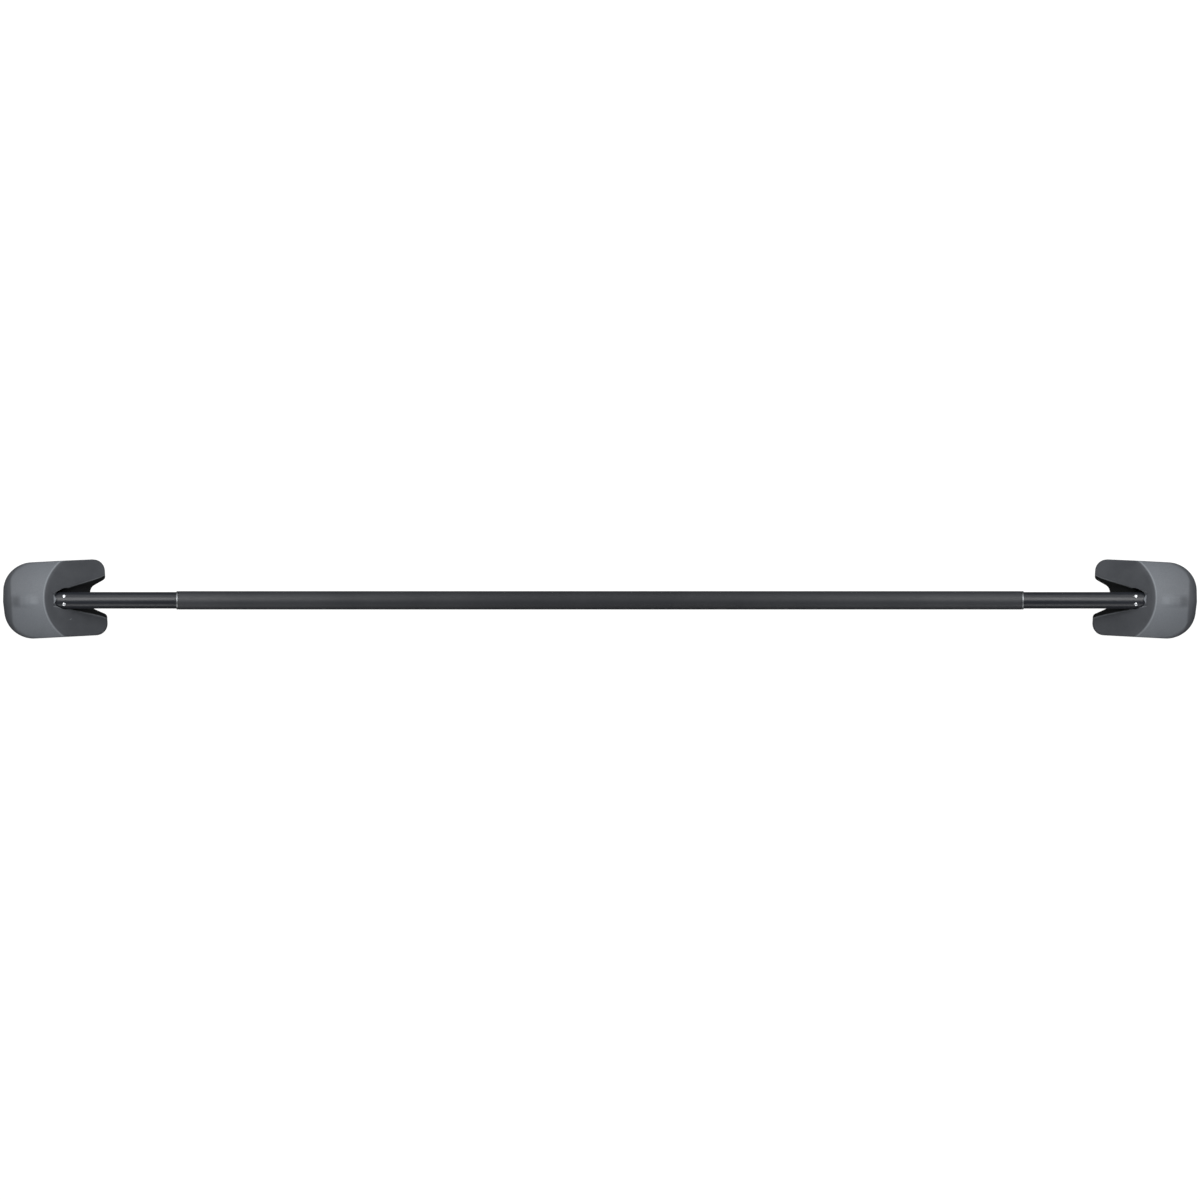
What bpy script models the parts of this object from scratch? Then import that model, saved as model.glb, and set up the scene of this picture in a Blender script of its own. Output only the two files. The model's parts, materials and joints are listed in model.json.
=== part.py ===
"""Telescoping pull-up bar whose two end saddles drop over a pair of parallel support beams.

The bar lies along X, the saddles stand on z = 0 and the origin is under the middle of the bar.
Each end is built once in its own frame: its origin is on the saddle's swivel axis at floor
level and its +X points towards the middle of the bar. The right end is the left one turned half
a turn, and each saddle is then swung a few degrees about its swivel bolt.
"""

import math

import bmesh
import bpy
from mathutils import Matrix

MM = 0.001

# Whole bar
OVERALL_LENGTH = 1829.0 * MM
GRIP_END_INSET = 265.5 * MM
AXIS_HEIGHT = 57.0 * MM
FIT_GAP = 0.3 * MM

# Tubes
TUBE_DIAMETER = 25.4 * MM
TUBE_WALL = 2.0 * MM
TUBE_INSERTION = 300.0 * MM
GRIP_WALL = 1.1 * MM
SLIDE_GAP = 0.3 * MM
TRIM_RING_LENGTH = 3.2 * MM
GUIDE_PLUG_LENGTH = 30.0 * MM
GUIDE_FLANGE_LENGTH = 3.0 * MM
GUIDE_BORE = 12.0 * MM

# Locking screw under each end of the grip
LOCK_INSET = 22.0 * MM
LOCK_BOSS_DIAMETER = 15.0 * MM
LOCK_BOSS_HEIGHT = 7.0 * MM
LOCK_SCREW_DIAMETER = 8.0 * MM
LOCK_KNOB_DIAMETER = 20.0 * MM
LOCK_KNOB_HEIGHT = 9.0 * MM
LOCK_KNOB_FLUTES = 12
LOCK_KNOB_CLEAR = 2.4 * MM
LOCK_HOLE_GAP = 0.5 * MM
LOCK_FLUTE_RADIUS = 1.7 * MM
LOCK_FLUTE_OUTSET = 0.6 * MM

# Saddle cover, in plan and in section
SADDLE_HALF_WIDTH = 58.6 * MM
COVER_WALL = 5.0 * MM
END_BOW = 1.0 * MM
END_CORNER_RADIUS = 44.0 * MM
LOBE_CORNER_RADIUS = 18.0 * MM
RIDGE_RISE = 12.5 * MM
BARREL_OVERSIZE = 18.4 * MM
CROWN_TILT = math.radians(5.0)
FLANK_RISE = 2.3 * MM
LOBE_LENGTH = 74.0 * MM
FLANK_ANGLE = math.radians(41.0)
NOTCH_HALF_WIDTH = 10.7 * MM
NOTCH_SPREAD = math.radians(15.6)
FOOT_NOTCH_DEPTH = 24.7 * MM
FOOT_NOTCH_HALF_WIDTH = 17.0 * MM
FOOT_NOTCH_MOUTH = 27.6 * MM
BULGE_RADIUS = 10.0 * MM
BULGE_RISE = 1.5 * MM
BULGE_NOSE = 16.5 * MM
BEAK_LENGTH = 6.3 * MM
BEAK_THICKNESS = 2.2 * MM
SHELF_HALF_WIDTH = 20.0 * MM
SHELF_THICKNESS = 4.0 * MM

# Swivel
SWIVEL_REST = math.radians(3.0)
SWIVEL_CLEAR = math.radians(3.8)
TONGUE_THICKNESS = 10.0 * MM
TONGUE_WIDTH = 22.0 * MM
PIVOT_DIAMETER = 10.0 * MM
PIVOT_HEAD_DIAMETER = 22.0 * MM
PIVOT_HEAD_HEIGHT = 3.2 * MM
PIVOT_TAIL = 2.5 * MM
NUT_ACROSS_FLATS = 16.0 * MM
NUT_HEIGHT = 8.0 * MM
WASHER_DIAMETER = 24.0 * MM
WASHER_THICKNESS = 1.6 * MM

# Insert in the tube's outer end, and its two screws
INSERT_LENGTH = 50.0 * MM
INSERT_NECK = 2.0 * MM
INSERT_SCREW_OFFSET = 14.0 * MM
INSERT_SCREW_TILT = math.radians(27.0)
INSERT_SCREW_DIAMETER = 3.6 * MM
INSERT_SCREW_HEAD = 6.0 * MM
INSERT_SCREW_HEAD_HEIGHT = 2.0 * MM
INSERT_SCREW_TIP_RADIUS = 5.7 * MM

# Steel bracket and rubber liner that straddle the beam
BRACKET_PLATE = 4.0 * MM
BRACKET_FOOT = 6.0 * MM
BRACKET_CLEAR = 0.4 * MM
LEG_STEP_IN = 0.1 * MM
BRACKET_LEG_HALF_WIDTH = 20.0 * MM
PAD_THICKNESS = 4.0 * MM
BEAM_CHANNEL_WIDTH = 54.0 * MM
COVER_SCREW_DIAMETER = 4.0 * MM
COVER_SCREW_HEAD = 8.5 * MM
COVER_SCREW_HEAD_HEIGHT = 2.4 * MM
COVER_SCREW_DEPTH = 12.0 * MM
BOSS_DIAMETER = 10.0 * MM

# Sizes that follow from the ones above
GRIP_END = OVERALL_LENGTH / 2 - GRIP_END_INSET
TUBE_RADIUS = TUBE_DIAMETER / 2
INSERT_SCREW_DEPTH = TUBE_RADIUS - INSERT_SCREW_TIP_RADIUS
TUBE_BORE = TUBE_RADIUS - TUBE_WALL
GRIP_BORE = TUBE_RADIUS + SLIDE_GAP
GRIP_RADIUS = GRIP_BORE + GRIP_WALL
TONGUE_LOW = AXIS_HEIGHT - TONGUE_THICKNESS / 2
TONGUE_HIGH = AXIS_HEIGHT + TONGUE_THICKNESS / 2
THRUST_LOW = TONGUE_LOW - FIT_GAP - WASHER_THICKNESS
PLATE_TOP = THRUST_LOW - FIT_GAP
PLATE_LOW = PLATE_TOP - BRACKET_PLATE
PAD_TOP = PLATE_LOW - FIT_GAP
CHANNEL_TOP = PAD_TOP - PAD_THICKNESS
OUTER_LEG = COVER_WALL + BRACKET_CLEAR
OUTER_PAD = OUTER_LEG + BRACKET_PLATE + FIT_GAP
CHANNEL_START = OUTER_PAD + PAD_THICKNESS
CHANNEL_END = CHANNEL_START + BEAM_CHANNEL_WIDTH
INNER_LEG = CHANNEL_END + PAD_THICKNESS + FIT_GAP
BRACKET_END = INNER_LEG + BRACKET_PLATE
INNER_LEG_HALF_WIDTH = SADDLE_HALF_WIDTH - COVER_WALL - 3.0 * MM
PIVOT_INSET = CHANNEL_END - 19.7 * MM
PIVOT_X = OVERALL_LENGTH / 2 - PIVOT_INSET
NOTCH_START = BRACKET_END + 1.0 * MM
FLANK_START = BRACKET_END + 3.0 * MM
TUBE_END_INSET = BRACKET_END + 4.0 * MM
SADDLE_LENGTH = FLANK_START + LOBE_LENGTH
FOOT_NOTCH_START = SADDLE_LENGTH - FOOT_NOTCH_DEPTH
FLANK_HEIGHT = AXIS_HEIGHT + TUBE_RADIUS + FLANK_RISE
RIDGE_HEIGHT = FLANK_HEIGHT + RIDGE_RISE
CREASE_INSET = FLANK_START - RIDGE_RISE / math.tan(FLANK_ANGLE)
BARREL_RADIUS = SADDLE_HALF_WIDTH + BARREL_OVERSIZE
PASSAGE_RADIUS = TUBE_RADIUS + 0.5 * MM
OUTER_FASTENER = (CHANNEL_START + 8.3 * MM - PIVOT_INSET, 20.0 * MM)
INNER_FASTENER = (CHANNEL_END - 5.7 * MM - PIVOT_INSET, SADDLE_HALF_WIDTH - 20.6 * MM)
FASTENERS = tuple((a, side * v) for a, v in (OUTER_FASTENER, INNER_FASTENER) for side in (1, -1))

# How far cutters run past what they cut
OVERRUN = 10.0 * MM
FAR = 0.2


# ---------------------------------------------------------------- scene and helpers

for old in list(bpy.data.objects):
    bpy.data.objects.remove(old, do_unlink=True)

parts = bpy.data.collections.new("pull_up_bar")
cutters = bpy.data.collections.new("cutters")
bpy.context.scene.collection.children.link(parts)
bpy.context.scene.collection.children.link(cutters)
cutters.hide_render = True


def make_material(name, colour, roughness, metallic):
    material = bpy.data.materials.new(name)
    material.use_nodes = True
    shader = material.node_tree.nodes["Principled BSDF"]
    shader.inputs["Base Color"].default_value = (*colour, 1.0)
    shader.inputs["Roughness"].default_value = roughness
    shader.inputs["Metallic"].default_value = metallic
    material.diffuse_color = (*colour, 1.0)
    return material


GRIP_BLACK = make_material("grip_black", (0.030, 0.032, 0.036), 0.62, 0.0)
GLOSS_BLACK = make_material("gloss_black", (0.035, 0.038, 0.045), 0.22, 0.0)
COVER_GREY = make_material("cover_grey", (0.115, 0.125, 0.140), 0.55, 0.0)
BRIGHT_STEEL = make_material("bright_steel", (0.80, 0.82, 0.84), 0.22, 1.0)
ZINC_STEEL = make_material("zinc_steel", (0.55, 0.56, 0.57), 0.38, 1.0)
LINER_RUBBER = make_material("liner_rubber", (0.020, 0.020, 0.021), 0.85, 0.0)
NYLON = make_material("nylon", (0.60, 0.60, 0.57), 0.50, 0.0)
KNOB_BLACK = make_material("knob_black", (0.022, 0.022, 0.024), 0.48, 0.0)


def keep(mesh_object, material=None):
    """Puts a piece among the parts, or among the cutters when it has no material."""
    if material is None:
        cutters.objects.link(mesh_object)
        mesh_object.hide_render = True
        mesh_object.display_type = "WIRE"
    else:
        parts.objects.link(mesh_object)
        mesh_object.data.materials.clear()
        mesh_object.data.materials.append(material)
        mesh_object.data.shade_smooth()
        mesh_object.data.set_sharp_from_angle(angle=math.radians(35))
    return mesh_object


def from_bmesh(name, bm, material=None):
    mesh = bpy.data.meshes.new(name)
    bm.to_mesh(mesh)
    bm.free()
    return keep(bpy.data.objects.new(name, mesh), material)


def box(name, low, high, material=None):
    bm = bmesh.new()
    size = [h - l for l, h in zip(low, high)]
    middle = [(l + h) / 2 for l, h in zip(low, high)]
    bmesh.ops.create_cube(bm, size=1.0, matrix=Matrix.Translation(middle) @ Matrix.Diagonal((*size, 1.0)))
    return from_bmesh(name, bm, material)


def cylinder(name, radius, start, length, along="Z", sides=40, material=None):
    """A closed cylinder from a start point, running along Z or X."""
    bm = bmesh.new()
    turn = Matrix.Rotation(math.pi / 2, 4, "Y") if along == "X" else Matrix.Identity(4)
    place = Matrix.Translation(start) @ turn @ Matrix.Translation((0, 0, length / 2))
    bmesh.ops.create_cone(
        bm, cap_ends=True, segments=sides, radius1=radius, radius2=radius, depth=length, matrix=place
    )
    return from_bmesh(name, bm, material)


def turned(name, profile, sides=32, material=None):
    """Turns a profile of (radius, height) points about Z, outer side listed from top to bottom.

    A profile that starts and ends off the axis is closed into a ring.
    """
    mesh = bpy.data.meshes.new(name)
    points = [(r, 0.0, z) for r, z in profile]
    edges = [(i, i + 1) for i in range(len(points) - 1)]
    if profile[0][0] > 0:
        edges.append((len(points) - 1, 0))
    mesh.from_pydata(points, edges, [])
    turned_object = keep(bpy.data.objects.new(name, mesh), material)
    screw = turned_object.modifiers.new("turn", "SCREW")
    screw.axis = "Z"
    screw.angle = 2 * math.pi
    screw.steps = sides
    screw.render_steps = sides
    screw.use_merge_vertices = True
    screw.merge_threshold = 0.00001
    screw.use_smooth_shade = True
    return turned_object


def prism(name, outline, low, high, material=None):
    """A flat plan outline given thickness from low to high."""
    curve = bpy.data.curves.new(name + "_curve", "CURVE")
    curve.dimensions = "2D"
    curve.fill_mode = "BOTH"
    curve.extrude = (high - low) / 2
    spline = curve.splines.new("POLY")
    spline.points.add(len(outline) - 1)
    for point, (x, y) in zip(spline.points, outline):
        point.co = (x, y, 0.0, 1.0)
    spline.use_cyclic_u = True
    holder = bpy.data.objects.new(name + "_curve", curve)
    holder.location.z = (low + high) / 2
    bpy.context.scene.collection.objects.link(holder)
    bpy.context.view_layer.update()
    graph = bpy.context.evaluated_depsgraph_get()
    mesh = bpy.data.meshes.new_from_object(holder.evaluated_get(graph))
    mesh.transform(holder.matrix_world)
    bpy.data.objects.remove(holder, do_unlink=True)
    bm = bmesh.new()
    bm.from_mesh(mesh)
    bmesh.ops.remove_doubles(bm, verts=bm.verts, dist=0.000001)
    bmesh.ops.recalc_face_normals(bm, faces=bm.faces)
    bpy.data.meshes.remove(mesh)
    return from_bmesh(name, bm, material)


def loft(name, rings, material=None):
    """Closed skin over rings of points that match one to one."""
    bm = bmesh.new()
    made = [[bm.verts.new(point) for point in ring] for ring in rings]
    for lower, upper in zip(made, made[1:]):
        for i in range(len(lower)):
            j = (i + 1) % len(lower)
            bm.faces.new((lower[i], lower[j], upper[j], upper[i]))
    bm.faces.new(list(reversed(made[0])))
    bm.faces.new(made[-1])
    bmesh.ops.triangulate(bm, faces=bm.faces)
    bmesh.ops.recalc_face_normals(bm, faces=bm.faces)
    return from_bmesh(name, bm, material)


def boolean(target, other, operation):
    modifier = target.modifiers.new(other.name, "BOOLEAN")
    modifier.operation = operation
    modifier.object = other
    modifier.solver = "EXACT"
    return target


def cut(target, *others):
    for other in others:
        boolean(target, other, "DIFFERENCE")
    return target


def arc(centre, radius, start, end, steps):
    """Points on a circular arc, angles in degrees."""
    angles = [math.radians(start + (end - start) * i / steps) for i in range(steps + 1)]
    return [(centre[0] + radius * math.cos(a), centre[1] + radius * math.sin(a)) for a in angles]


def inset(u):
    """Distance from the saddle's outer end, turned into x from the swivel axis."""
    return u - PIVOT_INSET


# ---------------------------------------------------------------- middle of the bar

def ring_profile(outer, inner, low, high, chamfer):
    """Section of a ring or tube wall with small chamfers on its outer corners."""
    return [
        (inner, high),
        (outer - chamfer, high),
        (outer, high - chamfer),
        (outer, low + chamfer),
        (outer - chamfer, low),
        (inner, low),
    ]


def flat_ring(outer, inner, low, thickness):
    """Section of a plain washer."""
    high = low + thickness
    return [(inner, high), (outer, high), (outer, low), (inner, low)]


def lay_along_x(piece, x=0.0):
    """Turns a piece made about Z to lie along the bar's axis."""
    piece.rotation_euler = (0.0, math.pi / 2, 0.0)
    piece.location = (x, 0.0, AXIS_HEIGHT)
    return piece


lock_x = GRIP_END - LOCK_INSET
grip_body = GRIP_END - TRIM_RING_LENGTH - FIT_GAP
grip = turned("grip_tube", ring_profile(GRIP_RADIUS, GRIP_BORE, -grip_body, grip_body, 0.3 * MM),
              material=GRIP_BLACK)
lay_along_x(grip)
for side, word in ((-1, "left"), (1, "right")):
    lock_hole = cylinder(word + "_lock_hole", LOCK_SCREW_DIAMETER / 2 + LOCK_HOLE_GAP,
                         (side * lock_x, 0.0, AXIS_HEIGHT - 2 * GRIP_RADIUS), 2 * GRIP_RADIUS, sides=32)
    cut(grip, lock_hole)


def build_trim_ring(word):
    """Polished ferrule on the mouth of the grip, with a rolled outer lip."""
    lip = 1.0 * MM
    profile = [(GRIP_BORE, TRIM_RING_LENGTH), (GRIP_RADIUS, TRIM_RING_LENGTH)]
    profile += [
        (GRIP_RADIUS - lip + lip * math.cos(math.radians(a)), lip - lip * math.sin(math.radians(a)))
        for a in (0, 45, 90)
    ]
    profile += [(GRIP_BORE, 0.0)]
    return turned(word + "_trim_ring", profile, material=BRIGHT_STEEL)


def build_lock_boss(word):
    """Threaded boss welded under the grip, hollowed to sit against the round tube."""
    low = AXIS_HEIGHT - GRIP_RADIUS - LOCK_BOSS_HEIGHT
    boss = cylinder(word + "_lock_boss", LOCK_BOSS_DIAMETER / 2, (0, 0, low), LOCK_BOSS_HEIGHT + 5 * MM,
                    material=ZINC_STEEL)
    seat = cylinder(word + "_boss_seat", GRIP_RADIUS + FIT_GAP, (-FAR / 4, 0, AXIS_HEIGHT), FAR / 2, "X", 64)
    bore = cylinder(word + "_boss_bore", LOCK_SCREW_DIAMETER / 2 + 0.25 * MM,
                    (0, 0, low - OVERRUN), LOCK_BOSS_HEIGHT + 3 * OVERRUN, sides=32)
    return cut(boss, seat, bore), seat, bore


def build_lock_screw(word):
    """Thumb screw with a fluted knob; its tip bears on the sliding tube."""
    tip = AXIS_HEIGHT - TUBE_RADIUS - FIT_GAP
    knob_top = AXIS_HEIGHT - GRIP_RADIUS - LOCK_BOSS_HEIGHT - LOCK_KNOB_CLEAR
    knob_low = knob_top - LOCK_KNOB_HEIGHT
    knob = LOCK_KNOB_DIAMETER / 2
    shank = LOCK_SCREW_DIAMETER / 2
    chamfer = 0.8 * MM
    profile = [
        (0.0, tip),
        (shank - chamfer, tip),
        (shank, tip - chamfer),
        (shank, knob_top),
        (knob - chamfer, knob_top),
        (knob, knob_top - chamfer),
        (knob, knob_low + chamfer),
        (knob - chamfer, knob_low),
        (0.0, knob_low),
    ]
    screw = turned(word + "_lock_screw", profile, sides=28, material=KNOB_BLACK)
    circle = knob + LOCK_FLUTE_OUTSET
    flutes = []
    for i in range(LOCK_KNOB_FLUTES):
        angle = 2 * math.pi * i / LOCK_KNOB_FLUTES
        spot = (circle * math.cos(angle), circle * math.sin(angle), knob_low - 2 * MM)
        flutes.append(cylinder(f"{word}_flute_{i}", LOCK_FLUTE_RADIUS, spot, LOCK_KNOB_HEIGHT + 4 * MM,
                               sides=8))
    return cut(screw, *flutes), flutes


# ---------------------------------------------------------------- sliding tube and its fittings

def build_extension_tube(word):
    start = inset(TUBE_END_INSET)
    end = PIVOT_X - GRIP_END + TUBE_INSERTION
    tube = turned(word + "_extension_tube",
                  ring_profile(TUBE_RADIUS, TUBE_BORE, start, end, 0.4 * MM), material=GLOSS_BLACK)
    holes = []
    for number, sign in ((1, 1), (2, -1)):
        hole = cylinder(f"{word}_insert_screw_hole_{number}", INSERT_SCREW_DIAMETER / 2 + 0.35 * MM,
                        (0, 0, INSERT_SCREW_TIP_RADIUS - 1 * MM), INSERT_SCREW_DEPTH + OVERRUN,
                        sides=24)
        hole.rotation_euler = (-sign * INSERT_SCREW_TILT, 0.0, 0.0)
        hole.location = (start + INSERT_SCREW_OFFSET, 0.0, AXIS_HEIGHT)
        holes.append(hole)
    cut(tube, *holes)
    return tube, holes


def build_end_insert(word, screw_holes):
    """Plug inside the tube's outer end, drawn out into the flat tongue that the bolt passes through."""
    start = inset(TUBE_END_INSET)
    half = TONGUE_WIDTH / 2
    shoulder = start - FIT_GAP
    outline = arc((0.0, 0.0), half, 90, 270, 20) + [(shoulder, -half), (shoulder, half)]
    insert = prism(word + "_end_insert", outline, TONGUE_LOW, TONGUE_HIGH, ZINC_STEEL)
    plug = cylinder(word + "_insert_plug", TUBE_BORE - FIT_GAP, (start - INSERT_NECK, 0, AXIS_HEIGHT),
                    INSERT_LENGTH, "X", 40)
    bolt_hole = cylinder(word + "_insert_bolt_hole", PIVOT_DIAMETER / 2 + FIT_GAP,
                         (0, 0, TONGUE_LOW - OVERRUN), TONGUE_THICKNESS + 2 * OVERRUN, sides=28)
    boolean(insert, plug, "UNION")
    cut(insert, bolt_hole, *screw_holes)
    return insert, [plug, bolt_hole]


def build_insert_screw(word, number):
    """Low domed screw head with a hexagon socket, standing radially on the tube."""
    seat = TUBE_RADIUS + FIT_GAP
    head = INSERT_SCREW_HEAD / 2
    shank = INSERT_SCREW_DIAMETER / 2
    top = seat + INSERT_SCREW_HEAD_HEIGHT
    profile = [
        (0.0, top),
        (head * 0.45, top - 0.1 * MM),
        (head * 0.80, top - 0.5 * MM),
        (head, top - 1.3 * MM),
        (head, seat),
        (shank, seat),
        (shank, INSERT_SCREW_TIP_RADIUS),
        (0.0, INSERT_SCREW_TIP_RADIUS),
    ]
    screw = turned(f"{word}_insert_screw_{number}", profile, sides=24, material=BRIGHT_STEEL)
    socket = cylinder(f"{word}_insert_socket_{number}", 1.25 * MM, (0, 0, top - 1.2 * MM), 5 * MM, sides=6)
    cut(screw, socket)
    sign = 1 if number == 1 else -1
    for piece in (screw, socket):
        piece.rotation_euler = (-sign * INSERT_SCREW_TILT, 0.0, 0.0)
        piece.location = (inset(TUBE_END_INSET) + INSERT_SCREW_OFFSET, 0.0, AXIS_HEIGHT)
    return screw, [socket]


def build_guide_plug(word):
    """Nylon bush in the tube's inner end, whose flange keeps the tube central in the grip."""
    end = PIVOT_X - GRIP_END + TUBE_INSERTION
    body = TUBE_BORE - FIT_GAP
    flange = TUBE_RADIUS
    profile = [
        (GUIDE_BORE / 2, end + FIT_GAP + GUIDE_FLANGE_LENGTH),
        (flange - 0.6 * MM, end + FIT_GAP + GUIDE_FLANGE_LENGTH),
        (flange, end + FIT_GAP + GUIDE_FLANGE_LENGTH - 0.6 * MM),
        (flange, end + FIT_GAP),
        (body, end + FIT_GAP),
        (body, end - GUIDE_PLUG_LENGTH + 1 * MM),
        (body - 1 * MM, end - GUIDE_PLUG_LENGTH),
        (GUIDE_BORE / 2, end - GUIDE_PLUG_LENGTH),
    ]
    return turned(word + "_guide_plug", profile, material=NYLON)


# ---------------------------------------------------------------- saddle cover

def cover_outline(shrink):
    """Plan of the cover: bowed outer end, large end corners, smaller lobe corners."""
    corner = END_CORNER_RADIUS - shrink
    corner_x = inset(END_BOW + END_CORNER_RADIUS)
    corner_y = SADDLE_HALF_WIDTH - END_CORNER_RADIUS
    lobe = LOBE_CORNER_RADIUS - shrink
    lobe_x = inset(SADDLE_LENGTH - LOBE_CORNER_RADIUS)
    lobe_y = SADDLE_HALF_WIDTH - LOBE_CORNER_RADIUS
    upper = [(inset(shrink), 0.0)]
    upper += arc((corner_x, corner_y), corner, 180, 90, 12)
    upper += arc((lobe_x, lobe_y), lobe, 90, 0, 6)
    lower = [(x, -y) for x, y in reversed(upper[1:])]
    return upper + lower


def barrel(name, shrink):
    """Round block whose axis runs with the bar and rises a little towards its middle.

    Its crown is the top of the saddle, and reaches the ridge height where the flank cuts it.
    """
    crown = cylinder(name, BARREL_RADIUS - shrink, (-FAR, 0, 0), 2 * FAR, "X", 90)
    crown.rotation_euler = (0.0, -CROWN_TILT, 0.0)
    crown.location = (inset(CREASE_INSET), 0.0, RIDGE_HEIGHT - BARREL_RADIUS)
    return crown


def crown_bulge(name):
    """Low round-nosed ridge along the crown: a thin bar sunk in it so that only its back shows."""
    tail = SADDLE_LENGTH - CREASE_INSET
    nose = BULGE_NOSE + BULGE_RADIUS - CREASE_INSET
    profile = [(0.0, tail), (BULGE_RADIUS, tail)]
    for degrees in range(0, 91, 15):
        angle = math.radians(degrees)
        profile.append((BULGE_RADIUS * math.cos(angle), nose - BULGE_RADIUS * math.sin(angle)))
    bulge = turned(name, profile, sides=40)
    bulge.rotation_euler = (0.0, math.pi / 2 - CROWN_TILT, 0.0)
    bulge.location = (inset(CREASE_INSET), 0.0, RIDGE_HEIGHT + BULGE_RISE - BULGE_RADIUS)
    return bulge


def flank(name, shrink):
    """Cutter whose lower face is the plane that slopes down towards the middle of the bar."""
    wedge = box(name, (-FAR, -FAR, -shrink), (FAR, FAR, FAR))
    wedge.rotation_euler = (0.0, FLANK_ANGLE, 0.0)
    wedge.location = (inset(FLANK_START), 0.0, FLANK_HEIGHT)
    return wedge


def notch_halves(grow):
    """The notch's edge on the sloping flank and its edge at the foot, as matching half outlines."""
    spread = math.tan(NOTCH_SPREAD)
    run = SADDLE_LENGTH - NOTCH_START
    beyond = 40.0 * MM
    foot_run = SADDLE_LENGTH - FOOT_NOTCH_START
    foot_spread = FOOT_NOTCH_MOUTH - FOOT_NOTCH_HALF_WIDTH
    steps = 8
    flank_edge = [(NOTCH_START - grow, 0.0), (NOTCH_START - grow, 0.6 * NOTCH_HALF_WIDTH)]
    foot_edge = [(FOOT_NOTCH_START - grow, 0.0), (FOOT_NOTCH_START - grow, 0.5 * FOOT_NOTCH_HALF_WIDTH)]
    for i in range(steps + 1):
        share = i / steps
        ease = 1 - (1 - share) ** 2
        flank_edge.append((NOTCH_START - grow + (run + grow) * share,
                           NOTCH_HALF_WIDTH + grow + run * spread * share))
        foot_edge.append((FOOT_NOTCH_START - grow + (foot_run + grow) * share,
                          0.75 * FOOT_NOTCH_HALF_WIDTH + grow
                          + (0.25 * FOOT_NOTCH_HALF_WIDTH + foot_spread) * (0.4 * ease + 0.6 * share)))
    for edge in (flank_edge, foot_edge):
        edge.append((SADDLE_LENGTH + beyond, edge[-1][1] + beyond * spread))
    return flank_edge, foot_edge


def notch(name, grow):
    """Trough that opens the flank for the tube: a wall ruled from the flank edge to the foot edge."""
    flank_edge, foot_edge = notch_halves(grow)
    slope = math.tan(FLANK_ANGLE)

    def both_sides(edge, height):
        right = [(inset(u), v, height(u)) for u, v in edge]
        left = [(x, -v, z) for x, v, z in reversed(right[1:])]
        return right + left

    on_flank = both_sides(flank_edge, lambda u: max(FLANK_HEIGHT - (u - FLANK_START) * slope, -20 * MM))
    above = [(x, v, z + 60 * MM) for x, v, z in on_flank]
    foot = both_sides(foot_edge, lambda u: 0.0 if u <= SADDLE_LENGTH else -25 * MM)
    below = [(x, v, min(z, 0.0) - 10 * MM) for x, v, z in foot]
    return loft(name, [below, foot, on_flank, above])


def passage(name):
    """Room for the tube to pass into the saddle at every swivel angle: a slot that widens with distance."""
    radius = PASSAGE_RADIUS
    rings = []
    for u in (58.0 * MM, 200.0 * MM):
        spread = abs(inset(u)) * math.tan(SWIVEL_CLEAR)
        ends = arc((spread, 0.0), radius, -90, 90, 14) + arc((-spread, 0.0), radius, 90, 270, 14)
        rings.append([(inset(u), y, AXIS_HEIGHT + z) for y, z in ends])
    return loft(name, rings)


def beak(name):
    """Pointed lip that reaches out of the flank over the end of the tube."""
    low = AXIS_HEIGHT + PASSAGE_RADIUS + FIT_GAP
    root = NOTCH_START - 5.0 * MM
    outline = [
        (inset(root), NOTCH_HALF_WIDTH),
        (inset(root), -NOTCH_HALF_WIDTH),
        (inset(NOTCH_START), -NOTCH_HALF_WIDTH),
        (inset(NOTCH_START + BEAK_LENGTH), 0.0),
        (inset(NOTCH_START), NOTCH_HALF_WIDTH),
    ]
    return prism(name, outline, low, low + BEAK_THICKNESS)


def shelf(name):
    """Web inside the cover, just under the tube, from the bracket to the wall of the notch."""
    top = AXIS_HEIGHT - PASSAGE_RADIUS - 0.5 * MM
    return box(name, (inset(BRACKET_END + FIT_GAP), -SHELF_HALF_WIDTH, top - SHELF_THICKNESS),
               (inset(SADDLE_LENGTH), SHELF_HALF_WIDTH, top))


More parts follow.
